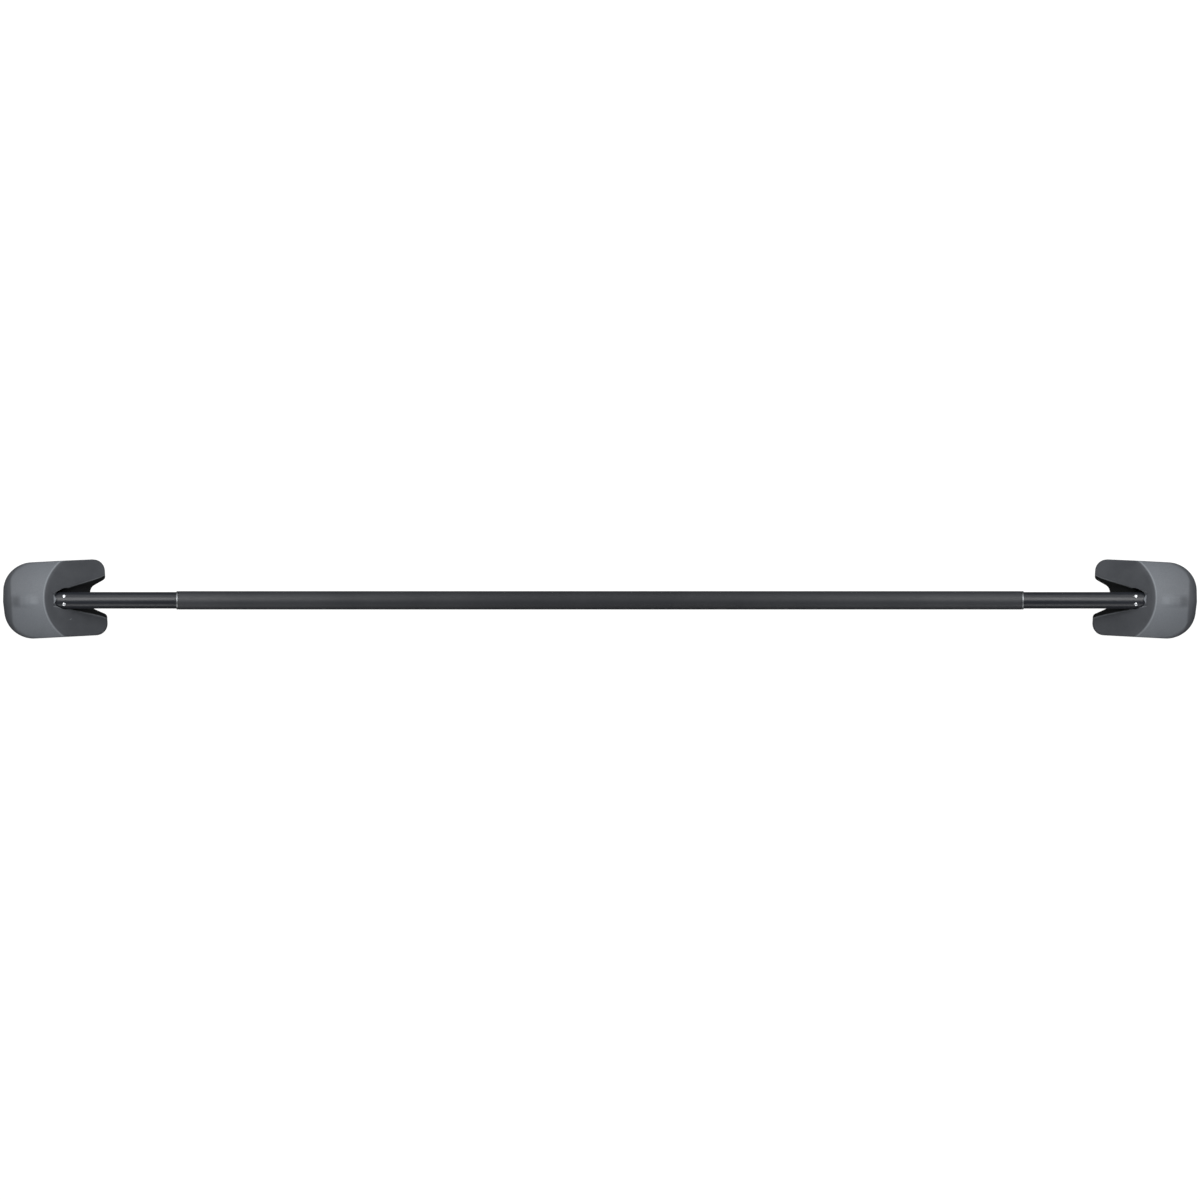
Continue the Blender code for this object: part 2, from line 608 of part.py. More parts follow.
def build_cover(word):
    high = RIDGE_HEIGHT + 2 * OVERRUN
    cover = prism(word + "_saddle_cover", cover_outline(0.0), 0.0, high, COVER_GREY)
    crown = barrel(word + "_cover_crown", 0.0)
    bulge = crown_bulge(word + "_cover_bulge")
    slope = flank(word + "_cover_flank", 0.0)
    trough = notch(word + "_cover_notch", 0.0)
    tube_room = passage(word + "_cover_passage")
    lip = beak(word + "_cover_beak")
    hollow = prism(word + "_cover_hollow", cover_outline(COVER_WALL), -OVERRUN, high)
    inner_crown = barrel(word + "_hollow_crown", COVER_WALL)
    inner_slope = flank(word + "_hollow_flank", COVER_WALL)
    inner_trough = notch(word + "_hollow_notch", COVER_WALL)
    web = shelf(word + "_hollow_shelf")
    boolean(hollow, inner_crown, "INTERSECT")
    posts = [
        cylinder(f"{word}_cover_post_{i}", BOSS_DIAMETER / 2, (a, v, PLATE_TOP + FIT_GAP), FAR, sides=18)
        for i, (a, v) in enumerate(FASTENERS)
    ]
    cut(hollow, inner_slope, inner_trough, web, *posts)
    pilots = [
        cylinder(f"{word}_cover_pilot_{i}", COVER_SCREW_DIAMETER / 2 + 0.3 * MM,
                 (a, v, PLATE_TOP - OVERRUN), COVER_SCREW_DEPTH + 1 * MM + OVERRUN, sides=16)
        for i, (a, v) in enumerate(FASTENERS)
    ]
    beam_slot = box(word + "_cover_beam_slot",
                    (inset(CHANNEL_START - 0.5 * MM), -FAR, -OVERRUN),
                    (inset(CHANNEL_END + 0.5 * MM), FAR, CHANNEL_TOP + 0.5 * MM))
    boolean(cover, crown, "INTERSECT")
    boolean(cover, bulge, "UNION")
    cut(cover, slope, trough, tube_room, hollow, beam_slot, *pilots)
    boolean(cover, lip, "UNION")
    helpers = [crown, bulge, slope, trough, tube_room, hollow, inner_crown, inner_slope, inner_trough]
    return cover, helpers + posts + pilots + [beam_slot, lip, web]


# ---------------------------------------------------------------- what the cover hides

def plate_outline(start, end, shrink):
    """Plan that follows the cover's rounded end at a clearance and stops square at the inner end."""
    clear = COVER_WALL + shrink
    half = SADDLE_HALF_WIDTH - clear
    corner = END_CORNER_RADIUS - clear
    centre = (inset(END_BOW + END_CORNER_RADIUS), SADDLE_HALF_WIDTH - END_CORNER_RADIUS)
    from_axis = centre[0] - start
    reach = math.sqrt(max(corner ** 2 - from_axis ** 2, 0.0))
    first = math.degrees(math.atan2(reach, -from_axis))
    upper = arc(centre, corner, first, 90, 12) + [(end, half)]
    return upper + [(x, -y) for x, y in reversed(upper)]


def fastener_holes(word, piece, radius, low, high):
    return [
        cylinder(f"{word}_{piece}_fastener_hole_{i}", radius, (a, v, low), high - low, sides=16)
        for i, (a, v) in enumerate(FASTENERS)
    ]


def build_bracket(word):
    """Pressed steel channel: a top plate with a leg down each side of the beam."""
    start = inset(OUTER_LEG)
    end = inset(BRACKET_END)
    bracket = prism(word + "_saddle_bracket", plate_outline(start, end, BRACKET_CLEAR), PLATE_LOW, PLATE_TOP,
                    ZINC_STEEL)
    outer_leg = box(word + "_bracket_outer_leg", (start, -BRACKET_LEG_HALF_WIDTH, BRACKET_FOOT),
                    (start + BRACKET_PLATE, BRACKET_LEG_HALF_WIDTH, PLATE_TOP - 1 * MM))
    half = INNER_LEG_HALF_WIDTH
    inner_leg = box(word + "_bracket_inner_leg", (end - BRACKET_PLATE, -half, BRACKET_FOOT),
                    (end, half, PLATE_TOP - 1 * MM))
    bolt_hole = cylinder(word + "_bracket_bolt_hole", PIVOT_DIAMETER / 2 + FIT_GAP,
                         (0, 0, PLATE_LOW - OVERRUN), 3 * OVERRUN, sides=28)
    leg_room = prism(word + "_bracket_leg_room",
                     cover_outline(COVER_WALL + BRACKET_CLEAR + LEG_STEP_IN), -OVERRUN, FAR)
    holes = fastener_holes(word, "bracket", COVER_SCREW_DIAMETER / 2 + FIT_GAP, PLATE_LOW - OVERRUN,
                           PLATE_TOP + OVERRUN)
    boolean(outer_leg, leg_room, "INTERSECT")
    boolean(bracket, outer_leg, "UNION")
    boolean(bracket, inner_leg, "UNION")
    cut(bracket, bolt_hole, *holes)
    return bracket, [outer_leg, inner_leg, bolt_hole, leg_room] + holes


def build_pad(word):
    """Rubber liner of the bracket, the surface that grips the beam."""
    start = inset(OUTER_PAD)
    end = inset(CHANNEL_END + PAD_THICKNESS)
    pad = prism(word + "_rail_pad", plate_outline(start, end, 2 * MM), CHANNEL_TOP, PAD_TOP, LINER_RUBBER)
    low = BRACKET_FOOT - 1 * MM
    top = PAD_TOP - 1 * MM
    half = INNER_LEG_HALF_WIDTH
    outer_leg = box(word + "_pad_outer_leg", (start, -BRACKET_LEG_HALF_WIDTH, low),
                    (start + PAD_THICKNESS, BRACKET_LEG_HALF_WIDTH, top))
    inner_leg = box(word + "_pad_inner_leg", (end - PAD_THICKNESS, -half, low), (end, half, top))
    head_room = cylinder(word + "_pad_head_room", PIVOT_HEAD_DIAMETER / 2 + 1 * MM,
                         (0, 0, CHANNEL_TOP - OVERRUN), 3 * OVERRUN, sides=40)
    holes = fastener_holes(word, "pad", COVER_SCREW_HEAD / 2 + 0.8 * MM, CHANNEL_TOP - OVERRUN,
                           PAD_TOP + OVERRUN)
    boolean(pad, outer_leg, "UNION")
    boolean(pad, inner_leg, "UNION")
    cut(pad, head_room, *holes)
    return pad, [outer_leg, inner_leg, head_room] + holes


def build_pivot_stack(word):
    """Bolt from below through the bracket and the tongue, with its two washers and its nut."""
    shank = PIVOT_DIAMETER / 2
    head = PIVOT_HEAD_DIAMETER / 2
    washer_low = TONGUE_HIGH + FIT_GAP
    nut_low = washer_low + WASHER_THICKNESS + FIT_GAP
    bolt_top = nut_low + NUT_HEIGHT + PIVOT_TAIL
    head_top = PLATE_LOW - FIT_GAP
    bolt = turned(word + "_pivot_bolt", [
        (0.0, bolt_top),
        (shank - 1 * MM, bolt_top),
        (shank, bolt_top - 1 * MM),
        (shank, head_top),
        (head, head_top),
        (head, head_top - PIVOT_HEAD_HEIGHT + 1.4 * MM),
        (head - 2.5 * MM, head_top - PIVOT_HEAD_HEIGHT),
        (0.0, head_top - PIVOT_HEAD_HEIGHT),
    ], sides=28, material=ZINC_STEEL)
    bore = shank + FIT_GAP
    washer = WASHER_DIAMETER / 2
    thrust = turned(word + "_thrust_washer", flat_ring(washer, bore, THRUST_LOW, WASHER_THICKNESS),
                    material=NYLON)
    upper = turned(word + "_nut_washer", flat_ring(washer, bore, washer_low, WASHER_THICKNESS),
                   material=ZINC_STEEL)
    nut = cylinder(word + "_pivot_nut", NUT_ACROSS_FLATS / 2 / math.cos(math.pi / 6), (0, 0, nut_low),
                   NUT_HEIGHT, sides=6, material=ZINC_STEEL)
    thread = cylinder(word + "_nut_thread", bore, (0, 0, nut_low - OVERRUN),
                      NUT_HEIGHT + 2 * OVERRUN, sides=28)
    cut(nut, thread)
    return [bolt, thrust, upper, nut], [thread]


def build_cover_screw(word, index, spot):
    """Pan head screw up through the bracket into a post of the cover."""
    head_top = PLATE_LOW - FIT_GAP
    head = COVER_SCREW_HEAD / 2
    shank = COVER_SCREW_DIAMETER / 2
    tip = PLATE_TOP + COVER_SCREW_DEPTH - 2 * MM
    screw = turned(f"{word}_cover_screw_{index + 1}", [
        (0.0, tip),
        (shank - 1.2 * MM, tip),
        (shank, tip - 3 * MM),
        (shank, head_top),
        (head, head_top),
        (head, head_top - COVER_SCREW_HEAD_HEIGHT + 1 * MM),
        (head - 1.2 * MM, head_top - COVER_SCREW_HEAD_HEIGHT),
        (0.0, head_top - COVER_SCREW_HEAD_HEIGHT),
    ], sides=18, material=ZINC_STEEL)
    socket = cylinder(f"{word}_cover_screw_socket_{index + 1}", 1.6 * MM,
                      (0, 0, head_top - COVER_SCREW_HEAD_HEIGHT - 3 * MM), 4.4 * MM, sides=6)
    cut(screw, socket)
    for piece in (screw, socket):
        piece.location = (*spot, 0.0)
    return screw, [socket]


# ---------------------------------------------------------------- placing both ends

def empty(name, parent, location, turn):
    holder = bpy.data.objects.new(name, None)
    parts.objects.link(holder)
    holder.parent = parent
    holder.location = location
    holder.rotation_euler = (0.0, 0.0, turn)
    return holder


def adopt(parent, pieces):
    for piece in pieces:
        piece.parent = parent


def build_end(word, side):
    """One end of the bar: side is -1 on the left and +1 on the right."""
    end = empty(word + "_end", None, (side * PIVOT_X, 0.0, 0.0), 0.0 if side < 0 else math.pi)
    swivel = empty(word + "_swivel", end, (0.0, 0.0, 0.0), -side * SWIVEL_REST)

    tube, screw_holes = build_extension_tube(word)
    lay_along_x(tube)
    insert, insert_helpers = build_end_insert(word, screw_holes)
    guide = lay_along_x(build_guide_plug(word))
    sliding = [tube, insert, guide] + screw_holes + insert_helpers
    for number in (1, 2):
        screw, helpers = build_insert_screw(word, number)
        sliding += [screw] + helpers
    adopt(end, sliding)

    ring = lay_along_x(build_trim_ring(word), PIVOT_X - GRIP_END)
    boss, seat, bore = build_lock_boss(word)
    lock, flutes = build_lock_screw(word)
    for piece in [boss, seat, bore, lock] + flutes:
        piece.location.x += PIVOT_X - lock_x
    adopt(end, [ring, boss, seat, bore, lock] + flutes)

    cover, cover_helpers = build_cover(word)
    bracket, bracket_helpers = build_bracket(word)
    pad, pad_helpers = build_pad(word)
    stack, stack_helpers = build_pivot_stack(word)
    turning = [cover, bracket, pad] + cover_helpers + bracket_helpers + pad_helpers + stack + stack_helpers
    for index, spot in enumerate(FASTENERS):
        screw, helpers = build_cover_screw(word, index, spot)
        turning += [screw] + helpers
    adopt(swivel, turning)


build_end("left", -1)
build_end("right", 1)
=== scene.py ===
# %% [markdown]
# # A telescoping pull-up bar, looked down on from above
#
# The bar is a matte black grip tube with a thinner glossy tube sliding out of each end. Each thin
# tube runs into a moulded slate grey saddle, which sits over a support beam. This file dresses the
# fixed working model: the model keeps every size, place and joint, and the lesson here is how to
# give its pieces fine surfaces and believable finishes.

import json
import math

import bmesh
import bpy
import numpy as np
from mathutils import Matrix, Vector


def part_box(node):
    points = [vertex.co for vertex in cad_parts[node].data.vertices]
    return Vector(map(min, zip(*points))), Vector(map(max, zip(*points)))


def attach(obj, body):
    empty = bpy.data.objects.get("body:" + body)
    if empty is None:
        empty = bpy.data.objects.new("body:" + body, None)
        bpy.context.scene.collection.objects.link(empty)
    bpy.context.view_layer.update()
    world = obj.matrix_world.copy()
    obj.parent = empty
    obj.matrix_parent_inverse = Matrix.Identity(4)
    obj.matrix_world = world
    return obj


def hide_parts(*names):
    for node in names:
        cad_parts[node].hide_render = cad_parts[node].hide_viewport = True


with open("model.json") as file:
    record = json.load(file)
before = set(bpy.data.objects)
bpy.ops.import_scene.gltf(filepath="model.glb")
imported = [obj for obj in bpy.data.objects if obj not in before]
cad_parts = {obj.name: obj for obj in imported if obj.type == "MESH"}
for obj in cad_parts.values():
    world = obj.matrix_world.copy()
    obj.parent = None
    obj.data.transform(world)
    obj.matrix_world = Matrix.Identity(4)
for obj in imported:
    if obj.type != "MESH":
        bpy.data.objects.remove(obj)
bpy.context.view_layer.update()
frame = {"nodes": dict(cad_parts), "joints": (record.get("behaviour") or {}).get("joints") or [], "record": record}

MM = 0.001
JOINTS = {joint["name"]: joint for joint in frame["joints"]}
SIDES = {"left": -1.0, "right": 1.0}
AXIS_HEIGHT = JOINTS["left_swivel"]["pos_m"][2]
PIVOT_X = JOINTS["right_swivel"]["pos_m"][0]
SWIVEL_REST = math.radians(3.0)

# %% [markdown]
# ## Camera
#
# The bar is shown flat, from straight above, with its length across the picture. A long lens from
# far away keeps the two ends square to the eye: with a short lens the tall saddles would lean
# outwards. The lens follows from three numbers: how far away the camera is, how wide the sensor
# is, and how much of the world has to fit across the picture.

# %% Camera
CAMERA_DISTANCE = 9.0
SENSOR_WIDTH = 0.036
PICTURE_WIDTH = 1.8394
CAMERA_SHIFT = 0.5 * MM

camera_data = bpy.data.cameras.new("overhead_camera")
camera_data.sensor_width = SENSOR_WIDTH * 1000
camera_data.lens = SENSOR_WIDTH * 1000 * CAMERA_DISTANCE / PICTURE_WIDTH
camera_data.clip_end = 50.0
camera = bpy.data.objects.new("overhead_camera", camera_data)
camera.location = (0.0, CAMERA_SHIFT, AXIS_HEIGHT + CAMERA_DISTANCE)
bpy.context.scene.collection.objects.link(camera)
bpy.context.scene.camera = camera
print("lens in mm:", round(camera_data.lens, 1))

# %% [markdown]
# ## Floor and light
#
# The bar lies on a plain white floor. Each end has three soft boxes: one above it, a little to the
# far side, a large one further off on the far side, and a lower one on the near side. They make
# the two highlights of a glossy tube, and leave the far side of a surface brighter than the near
# side. No box hangs over the middle, where only a weak strip on the near side reaches, so the grip
# grows darker towards its middle. A pale dim world fills the shadows.

# %% Floor, soft boxes and world
FLOOR_SIZE = 14.0
FLOOR_LIFT = 0.99
FLOOR_BOUNCE = 0.10
FLOOR_DROP = 0.2 * MM
WORLD_COLOUR = (0.95, 0.97, 1.0, 1.0)
WORLD_STRENGTH = 0.11


def make_floor():
    """One flat square, a hair under the rims that stand on it. It is lifted to plain white where it
    is seen directly, and throws little light back at the bar, so the bar's edges stay dark."""
    half = FLOOR_SIZE / 2
    mesh = bpy.data.meshes.new("floor")
    corners = [(-half, -half, 0.0), (half, -half, 0.0), (half, half, 0.0), (-half, half, 0.0)]
    mesh.from_pydata(corners, [], [(0, 1, 2, 3)])
    floor = bpy.data.objects.new("floor", mesh)
    floor.location.z = -FLOOR_DROP
    bpy.context.scene.collection.objects.link(floor)
    material = bpy.data.materials.new("floor_white")
    material.use_nodes = True
    tree = material.node_tree
    shader = tree.nodes["Principled BSDF"]
    shader.inputs["Roughness"].default_value = 0.9
    shader.inputs["Specular IOR Level"].default_value = 0.1
    shader.inputs["Emission Color"].default_value = (1.0, 1.0, 1.0, 1.0)
    shader.inputs["Base Color"].default_value = (FLOOR_BOUNCE, FLOOR_BOUNCE, FLOOR_BOUNCE, 1.0)
    seen = tree.nodes.new("ShaderNodeLightPath")
    lift = tree.nodes.new("ShaderNodeMapRange")
    lift.inputs["To Max"].default_value = FLOOR_LIFT
    tree.links.new(seen.outputs["Is Camera Ray"], lift.inputs["Value"])
    tree.links.new(lift.outputs["Result"], shader.inputs["Emission Strength"])
    mesh.materials.append(material)
    return floor


def soft_box(name, place, aim, size, power):
    """A rectangular lamp at place, facing aim, with its long side along the bar."""
    lamp = bpy.data.lights.new(name, "AREA")
    lamp.shape = "RECTANGLE"
    lamp.size, lamp.size_y = size
    lamp.energy = power
    holder = bpy.data.objects.new(name, lamp)
    holder.location = place
    holder.rotation_euler = (Vector(aim) - Vector(place)).to_track_quat("-Z", "Y").to_euler()
    holder.visible_camera = False
    bpy.context.scene.collection.objects.link(holder)
    return holder


make_floor()
for word, side in SIDES.items():
    soft_box(word + "_soft_box", (side * 1.0, 0.30, 0.95), (side * 0.9, 0.0, 0.0), (0.9, 0.60), 8.5)
    soft_box(word + "_far_box", (side * 1.25, 1.5, 0.85), (side * 1.0, 0.0, 0.05), (1.6, 1.3), 9.0)
    soft_box(word + "_near_box", (side * 1.25, -1.5, 0.60), (side * 1.0, 0.0, 0.05), (1.4, 0.7), 6.5)
soft_box("near_strip", (0.0, -2.0, 0.35), (0.0, 0.0, 0.05), (3.6, 0.70), 1.0)

world = bpy.data.worlds.new("studio")
bpy.context.scene.world = world
world.use_nodes = True
world.node_tree.nodes["Background"].inputs["Color"].default_value = WORLD_COLOUR
world.node_tree.nodes["Background"].inputs["Strength"].default_value = WORLD_STRENGTH
bpy.context.scene.view_settings.view_transform = "Standard"

# %% [markdown]
# ## Mesh helpers
#
# Nearly every new piece is a grid of points computed as one array, with rows and columns that may
# wrap round. One function joins such a grid with quads, closes its seams, and turns it to face
# outwards by the sign of its volume.

# %% Grids to meshes


def grid_faces(rows, columns, wrap_rows=False, wrap_columns=False):
    """Quads between neighbouring points of a rows x columns grid, with wrapping where asked."""
    r = np.arange(rows if wrap_rows else rows - 1)
    c = np.arange(columns if wrap_columns else columns - 1)
    r, c = np.meshgrid(r, c, indexing="ij")
    r2, c2 = (r + 1) % rows, (c + 1) % columns
    quads = [r * columns + c, r2 * columns + c, r2 * columns + c2, r * columns + c2]
    return np.stack(quads, axis=-1).reshape(-1, 4)


def mesh_from(name, points, faces, seam=0.002 * MM):
    """A mesh with doubled points merged and, where it is closed, its faces turned outwards."""
    mesh = bpy.data.meshes.new(name)
    mesh.from_pydata(points.reshape(-1, 3).tolist(), [], faces.tolist())
    work = bmesh.new()
    work.from_mesh(mesh)
    bmesh.ops.remove_doubles(work, verts=work.verts, dist=seam)
    bmesh.ops.dissolve_degenerate(work, edges=work.edges, dist=seam)
    if all(edge.is_manifold for edge in work.edges) and work.calc_volume(signed=True) < 0:
        bmesh.ops.reverse_faces(work, faces=work.faces)
    work.to_mesh(mesh)
    work.free()
    return mesh


def place_piece(name, mesh, material, body, stands_for, sharp=40.0):
    """Puts a finished mesh in the scene, on its body, in place of the nodes it stands for."""
    mesh.shade_smooth()
    mesh.set_sharp_from_angle(angle=math.radians(sharp))
    mesh.materials.clear()
    mesh.materials.append(material)
    piece = bpy.data.objects.new(name, mesh)
    bpy.context.scene.collection.objects.link(piece)
    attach(piece, body)
    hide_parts(*stands_for)
    return piece


def softened(corners, radius, steps=5, closed=True):
    """An outline whose corners are rounded: each one becomes a quadratic curve that starts and ends
    the given radius away from it, or less on a short side. The radius may differ by corner."""
    corners = np.asarray(corners, float)
    out = []
    count = len(corners)
    radii = np.broadcast_to(radius, count)
    for i, corner in enumerate(corners):
        if not closed and i in (0, count - 1):
            out.append(corner[None])
            continue
        before, after = corners[i - 1] - corner, corners[(i + 1) % count] - corner
        r0 = min(radii[i], 0.45 * np.linalg.norm(before))
        r1 = min(radii[i], 0.45 * np.linalg.norm(after))
        start = corner + before / np.linalg.norm(before) * r0
        end = corner + after / np.linalg.norm(after) * r1
        t = np.linspace(0, 1, steps)[:, None]
        out.append((1 - t) ** 2 * start + 2 * t * (1 - t) * corner + t**2 * end)
    return np.concatenate(out)


def turned_on_bar(name, profile, around=96):
    """Turns (x, radius) points about the bar: y is radius times cosine, z is radius times sine."""
    angle = np.linspace(0, 2 * np.pi, around, endpoint=False)[None, :]
    x, r = profile[:, :1], profile[:, 1:]
    points = np.stack(np.broadcast_arrays(x, r * np.cos(angle), AXIS_HEIGHT + r * np.sin(angle)), -1)
    return mesh_from(name, points, grid_faces(len(profile), around, True, True))


# %% [markdown]
# ## Finishes
#
# Real black paint is never one black. The grip has a fine textured coat, the thin tubes a smooth
# enamel, the saddles a moulded grain. The effects that several finishes share are node groups: a
# grain, a slow variation of tone, and an edge mask that carries wear, and on the saddles also a
# painted highlight. A fourth group paints light by which way a surface tips along the bar: the
# saddles' level tops get a painted lighter tone, and their crease and lips a painted highlight.
# Constants stay on the shader.

# %% Shared effects as node groups


def new_group(name, inputs, outputs):
    """An empty shader group with float inputs (name, default) and outputs (name, kind)."""
    group = bpy.data.node_groups.new(name, "ShaderNodeTree")
    for label, default in inputs:
        socket = group.interface.new_socket(label, in_out="INPUT", socket_type="NodeSocketFloat")
        socket.default_value = default
    for label, kind in outputs:
        group.interface.new_socket(label, in_out="OUTPUT", socket_type=kind)
    return group, group.nodes.new("NodeGroupInput"), group.nodes.new("NodeGroupOutput")


def add(tree, kind, **settings):
    """A node with its properties set; a setting whose name is a socket sets that socket."""
    node = tree.nodes.new(kind)
    for key, value in settings.items():
        if key in node.inputs:
            node.inputs[key].default_value = value
        else:
            setattr(node, key, value)
    return node


def grain_group():
    """Moulded or sprayed grain: two sizes of noise added, as a height and as a mask."""
    group, inside, outside = new_group(
        "surface_grain", [("Scale", 1200.0), ("Coarse Share", 0.4)],
        [("Height", "NodeSocketFloat"), ("Mask", "NodeSocketFloat")])
    where = add(group, "ShaderNodeTexCoord")
    fine = add(group, "ShaderNodeTexNoise", Detail=2.0)
    coarse = add(group, "ShaderNodeTexNoise", Detail=1.0)
    lower = add(group, "ShaderNodeMath", operation="MULTIPLY")
    lower.inputs[1].default_value = 0.35
    mix = add(group, "ShaderNodeMix", data_type="FLOAT")
    ramp = add(group, "ShaderNodeMapRange")
    ramp.inputs["From Min"].default_value = 0.35
    ramp.inputs["From Max"].default_value = 0.65
    link = group.links.new
    for noise in (fine, coarse):
        link(where.outputs["Object"], noise.inputs["Vector"])
    link(inside.outputs["Scale"], fine.inputs["Scale"])
    link(inside.outputs["Scale"], lower.inputs[0])
    link(lower.outputs[0], coarse.inputs["Scale"])
    link(inside.outputs["Coarse Share"], mix.inputs["Factor"])
    link(fine.outputs["Fac"], mix.inputs["A"])
    link(coarse.outputs["Fac"], mix.inputs["B"])
    link(mix.outputs["Result"], ramp.inputs["Value"])
    link(mix.outputs["Result"], outside.inputs["Height"])
    link(ramp.outputs["Result"], outside.inputs["Mask"])
    return group


def tone_group():
    """Slow cloudy variation from 0 to 1, for uneven tone and handling marks."""
    group, inside, outside = new_group("slow_tone", [("Scale", 12.0)], [("Mask", "NodeSocketFloat")])
    where = add(group, "ShaderNodeTexCoord")
    cloud = add(group, "ShaderNodeTexNoise", Detail=4.0, Roughness=0.55)
    ramp = add(group, "ShaderNodeMapRange")
    ramp.inputs["From Min"].default_value = 0.32
    ramp.inputs["From Max"].default_value = 0.68
    link = group.links.new
    link(where.outputs["Object"], cloud.inputs["Vector"])
    link(inside.outputs["Scale"], cloud.inputs["Scale"])
    link(cloud.outputs["Fac"], ramp.inputs["Value"])
    link(ramp.outputs["Result"], outside.inputs["Mask"])
    return group


def wear_and_highlight_group():
    """Edge wear, and on the saddles a painted highlight: where the surface bends outwards, broken up by noise."""
    group, inside, outside = new_group(
        "edge_wear_and_highlight", [("Start", 0.53), ("End", 0.60), ("Break Up", 260.0)],
        [("Mask", "NodeSocketFloat")])
    shape = add(group, "ShaderNodeNewGeometry")
    where = add(group, "ShaderNodeTexCoord")
    ramp = add(group, "ShaderNodeMapRange")
    noise = add(group, "ShaderNodeTexNoise", Detail=5.0, Roughness=0.6)
    rough = add(group, "ShaderNodeMapRange")
    rough.inputs["From Min"].default_value = 0.42
    rough.inputs["From Max"].default_value = 0.58
    both = add(group, "ShaderNodeMath", operation="MULTIPLY")
    link = group.links.new
    link(shape.outputs["Pointiness"], ramp.inputs["Value"])
    link(inside.outputs["Start"], ramp.inputs["From Min"])
    link(inside.outputs["End"], ramp.inputs["From Max"])
    link(where.outputs["Object"], noise.inputs["Vector"])
    link(inside.outputs["Break Up"], noise.inputs["Scale"])
    link(noise.outputs["Fac"], rough.inputs["Value"])
    link(ramp.outputs["Result"], both.inputs[0])
    link(rough.outputs["Result"], both.inputs[1])
    link(both.outputs[0], outside.inputs["Mask"])
    return group


def painted_light_group():
    """Painted light by how a surface tips along the bar, as three masks. Painted Top Light is 1 on
    level ground and falls as the surface tips out towards the end, or in towards the middle: it
    paints level tops lighter than the slopes. Painted Crest Highlight is 1 on a narrow range of
    gentle inward slopes, which is the start of a rounded crease, and paints a highlight there.
    Painted Lip Highlight is 1 where an inward slope also turns down to the bar's axis, which is the
    rounded edge of the mouth, and paints a highlight there."""
    group, inside, outside = new_group(
        "painted_light_by_facing", [("Outward Limit", -0.32), ("Inward Limit", 0.40)],
        [("Painted Top Light", "NodeSocketFloat"), ("Painted Crest Highlight", "NodeSocketFloat"), ("Painted Lip Highlight", "NodeSocketFloat")])
    link = group.links.new
    where = add(group, "ShaderNodeTexCoord")
    normal = add(group, "ShaderNodeSeparateXYZ")
    place = add(group, "ShaderNodeSeparateXYZ")
    link(where.outputs["Normal"], normal.inputs["Vector"])
    link(where.outputs["Object"], place.inputs["Vector"])

    def towards_middle(axis):
        """How far the normal points back to the middle along one axis: its size times the sign."""
        side = add(group, "ShaderNodeMath", operation="SIGN")
        outward = add(group, "ShaderNodeMath", operation="MULTIPLY")
        back = add(group, "ShaderNodeMath", operation="MULTIPLY")
        back.inputs[1].default_value = -1.0
        link(place.outputs[axis], side.inputs[0])
        link(normal.outputs[axis], outward.inputs[0])
        link(side.outputs[0], outward.inputs[1])
        link(outward.outputs[0], back.inputs[0])
        return back.outputs[0]

    def ramp(value, start, end):
        node = add(group, "ShaderNodeMapRange")
        link(value, node.inputs["Value"])
        for limit, label in ((start, "From Min"), (end, "From Max")):
            if isinstance(limit, float):
                node.inputs[label].default_value = limit
            else:
                link(limit, node.inputs[label])
        return node.outputs["Result"]

    inward, axial = towards_middle("X"), towards_middle("Y")
    for first, second, label in (
            (ramp(inward, inside.outputs["Outward Limit"], 0.0),
             ramp(inward, inside.outputs["Inward Limit"], 0.10), "Painted Top Light"),
            (ramp(inward, 0.02, 0.09), ramp(inward, 0.34, 0.14), "Painted Crest Highlight"),
            (ramp(inward, 0.08, 0.25), ramp(axial, 0.10, 0.30), "Painted Lip Highlight")):
        both = add(group, "ShaderNodeMath", operation="MULTIPLY")
        link(first, both.inputs[0])
        link(second, both.inputs[1])
        link(both.outputs[0], outside.inputs[label])
    return group


GRAIN, TONE, WEAR_AND_HIGHLIGHT, PAINTED_LIGHT = grain_group(), tone_group(), wear_and_highlight_group(), painted_light_group()
print("node groups:", GRAIN.name, TONE.name, WEAR_AND_HIGHLIGHT.name, PAINTED_LIGHT.name)

# %% One recipe for all the coats


def place_group(tree, group, **values):
    node = tree.nodes.new("ShaderNodeGroup")
    node.node_tree = group
    for key, value in values.items():
        node.inputs[key.replace("_", " ")].default_value = value
    return node


def blend_colour(tree, mask, first, second):
    """A colour that goes from first, a colour or a socket, to second as the mask rises."""
    mix = add(tree, "ShaderNodeMix", data_type="RGBA")
    tree.links.new(mask, mix.inputs["Factor"])
    for value, label in ((first, "A"), (second, "B")):
        socket = next(s for s in mix.inputs if s.name == label and s.type == "RGBA")
        if isinstance(value, tuple):
            socket.default_value = (*value, 1.0)
        else:
            tree.links.new(value, socket)
    return next(s for s in mix.outputs if s.type == "RGBA")


def span(tree, mask, low, high):
    """A value that goes from low to high as the mask rises."""
    ramp = add(tree, "ShaderNodeMapRange")
    ramp.inputs["To Min"].default_value = low
    ramp.inputs["To Max"].default_value = high
    tree.links.new(mask, ramp.inputs["Value"])
    return ramp.outputs["Result"]


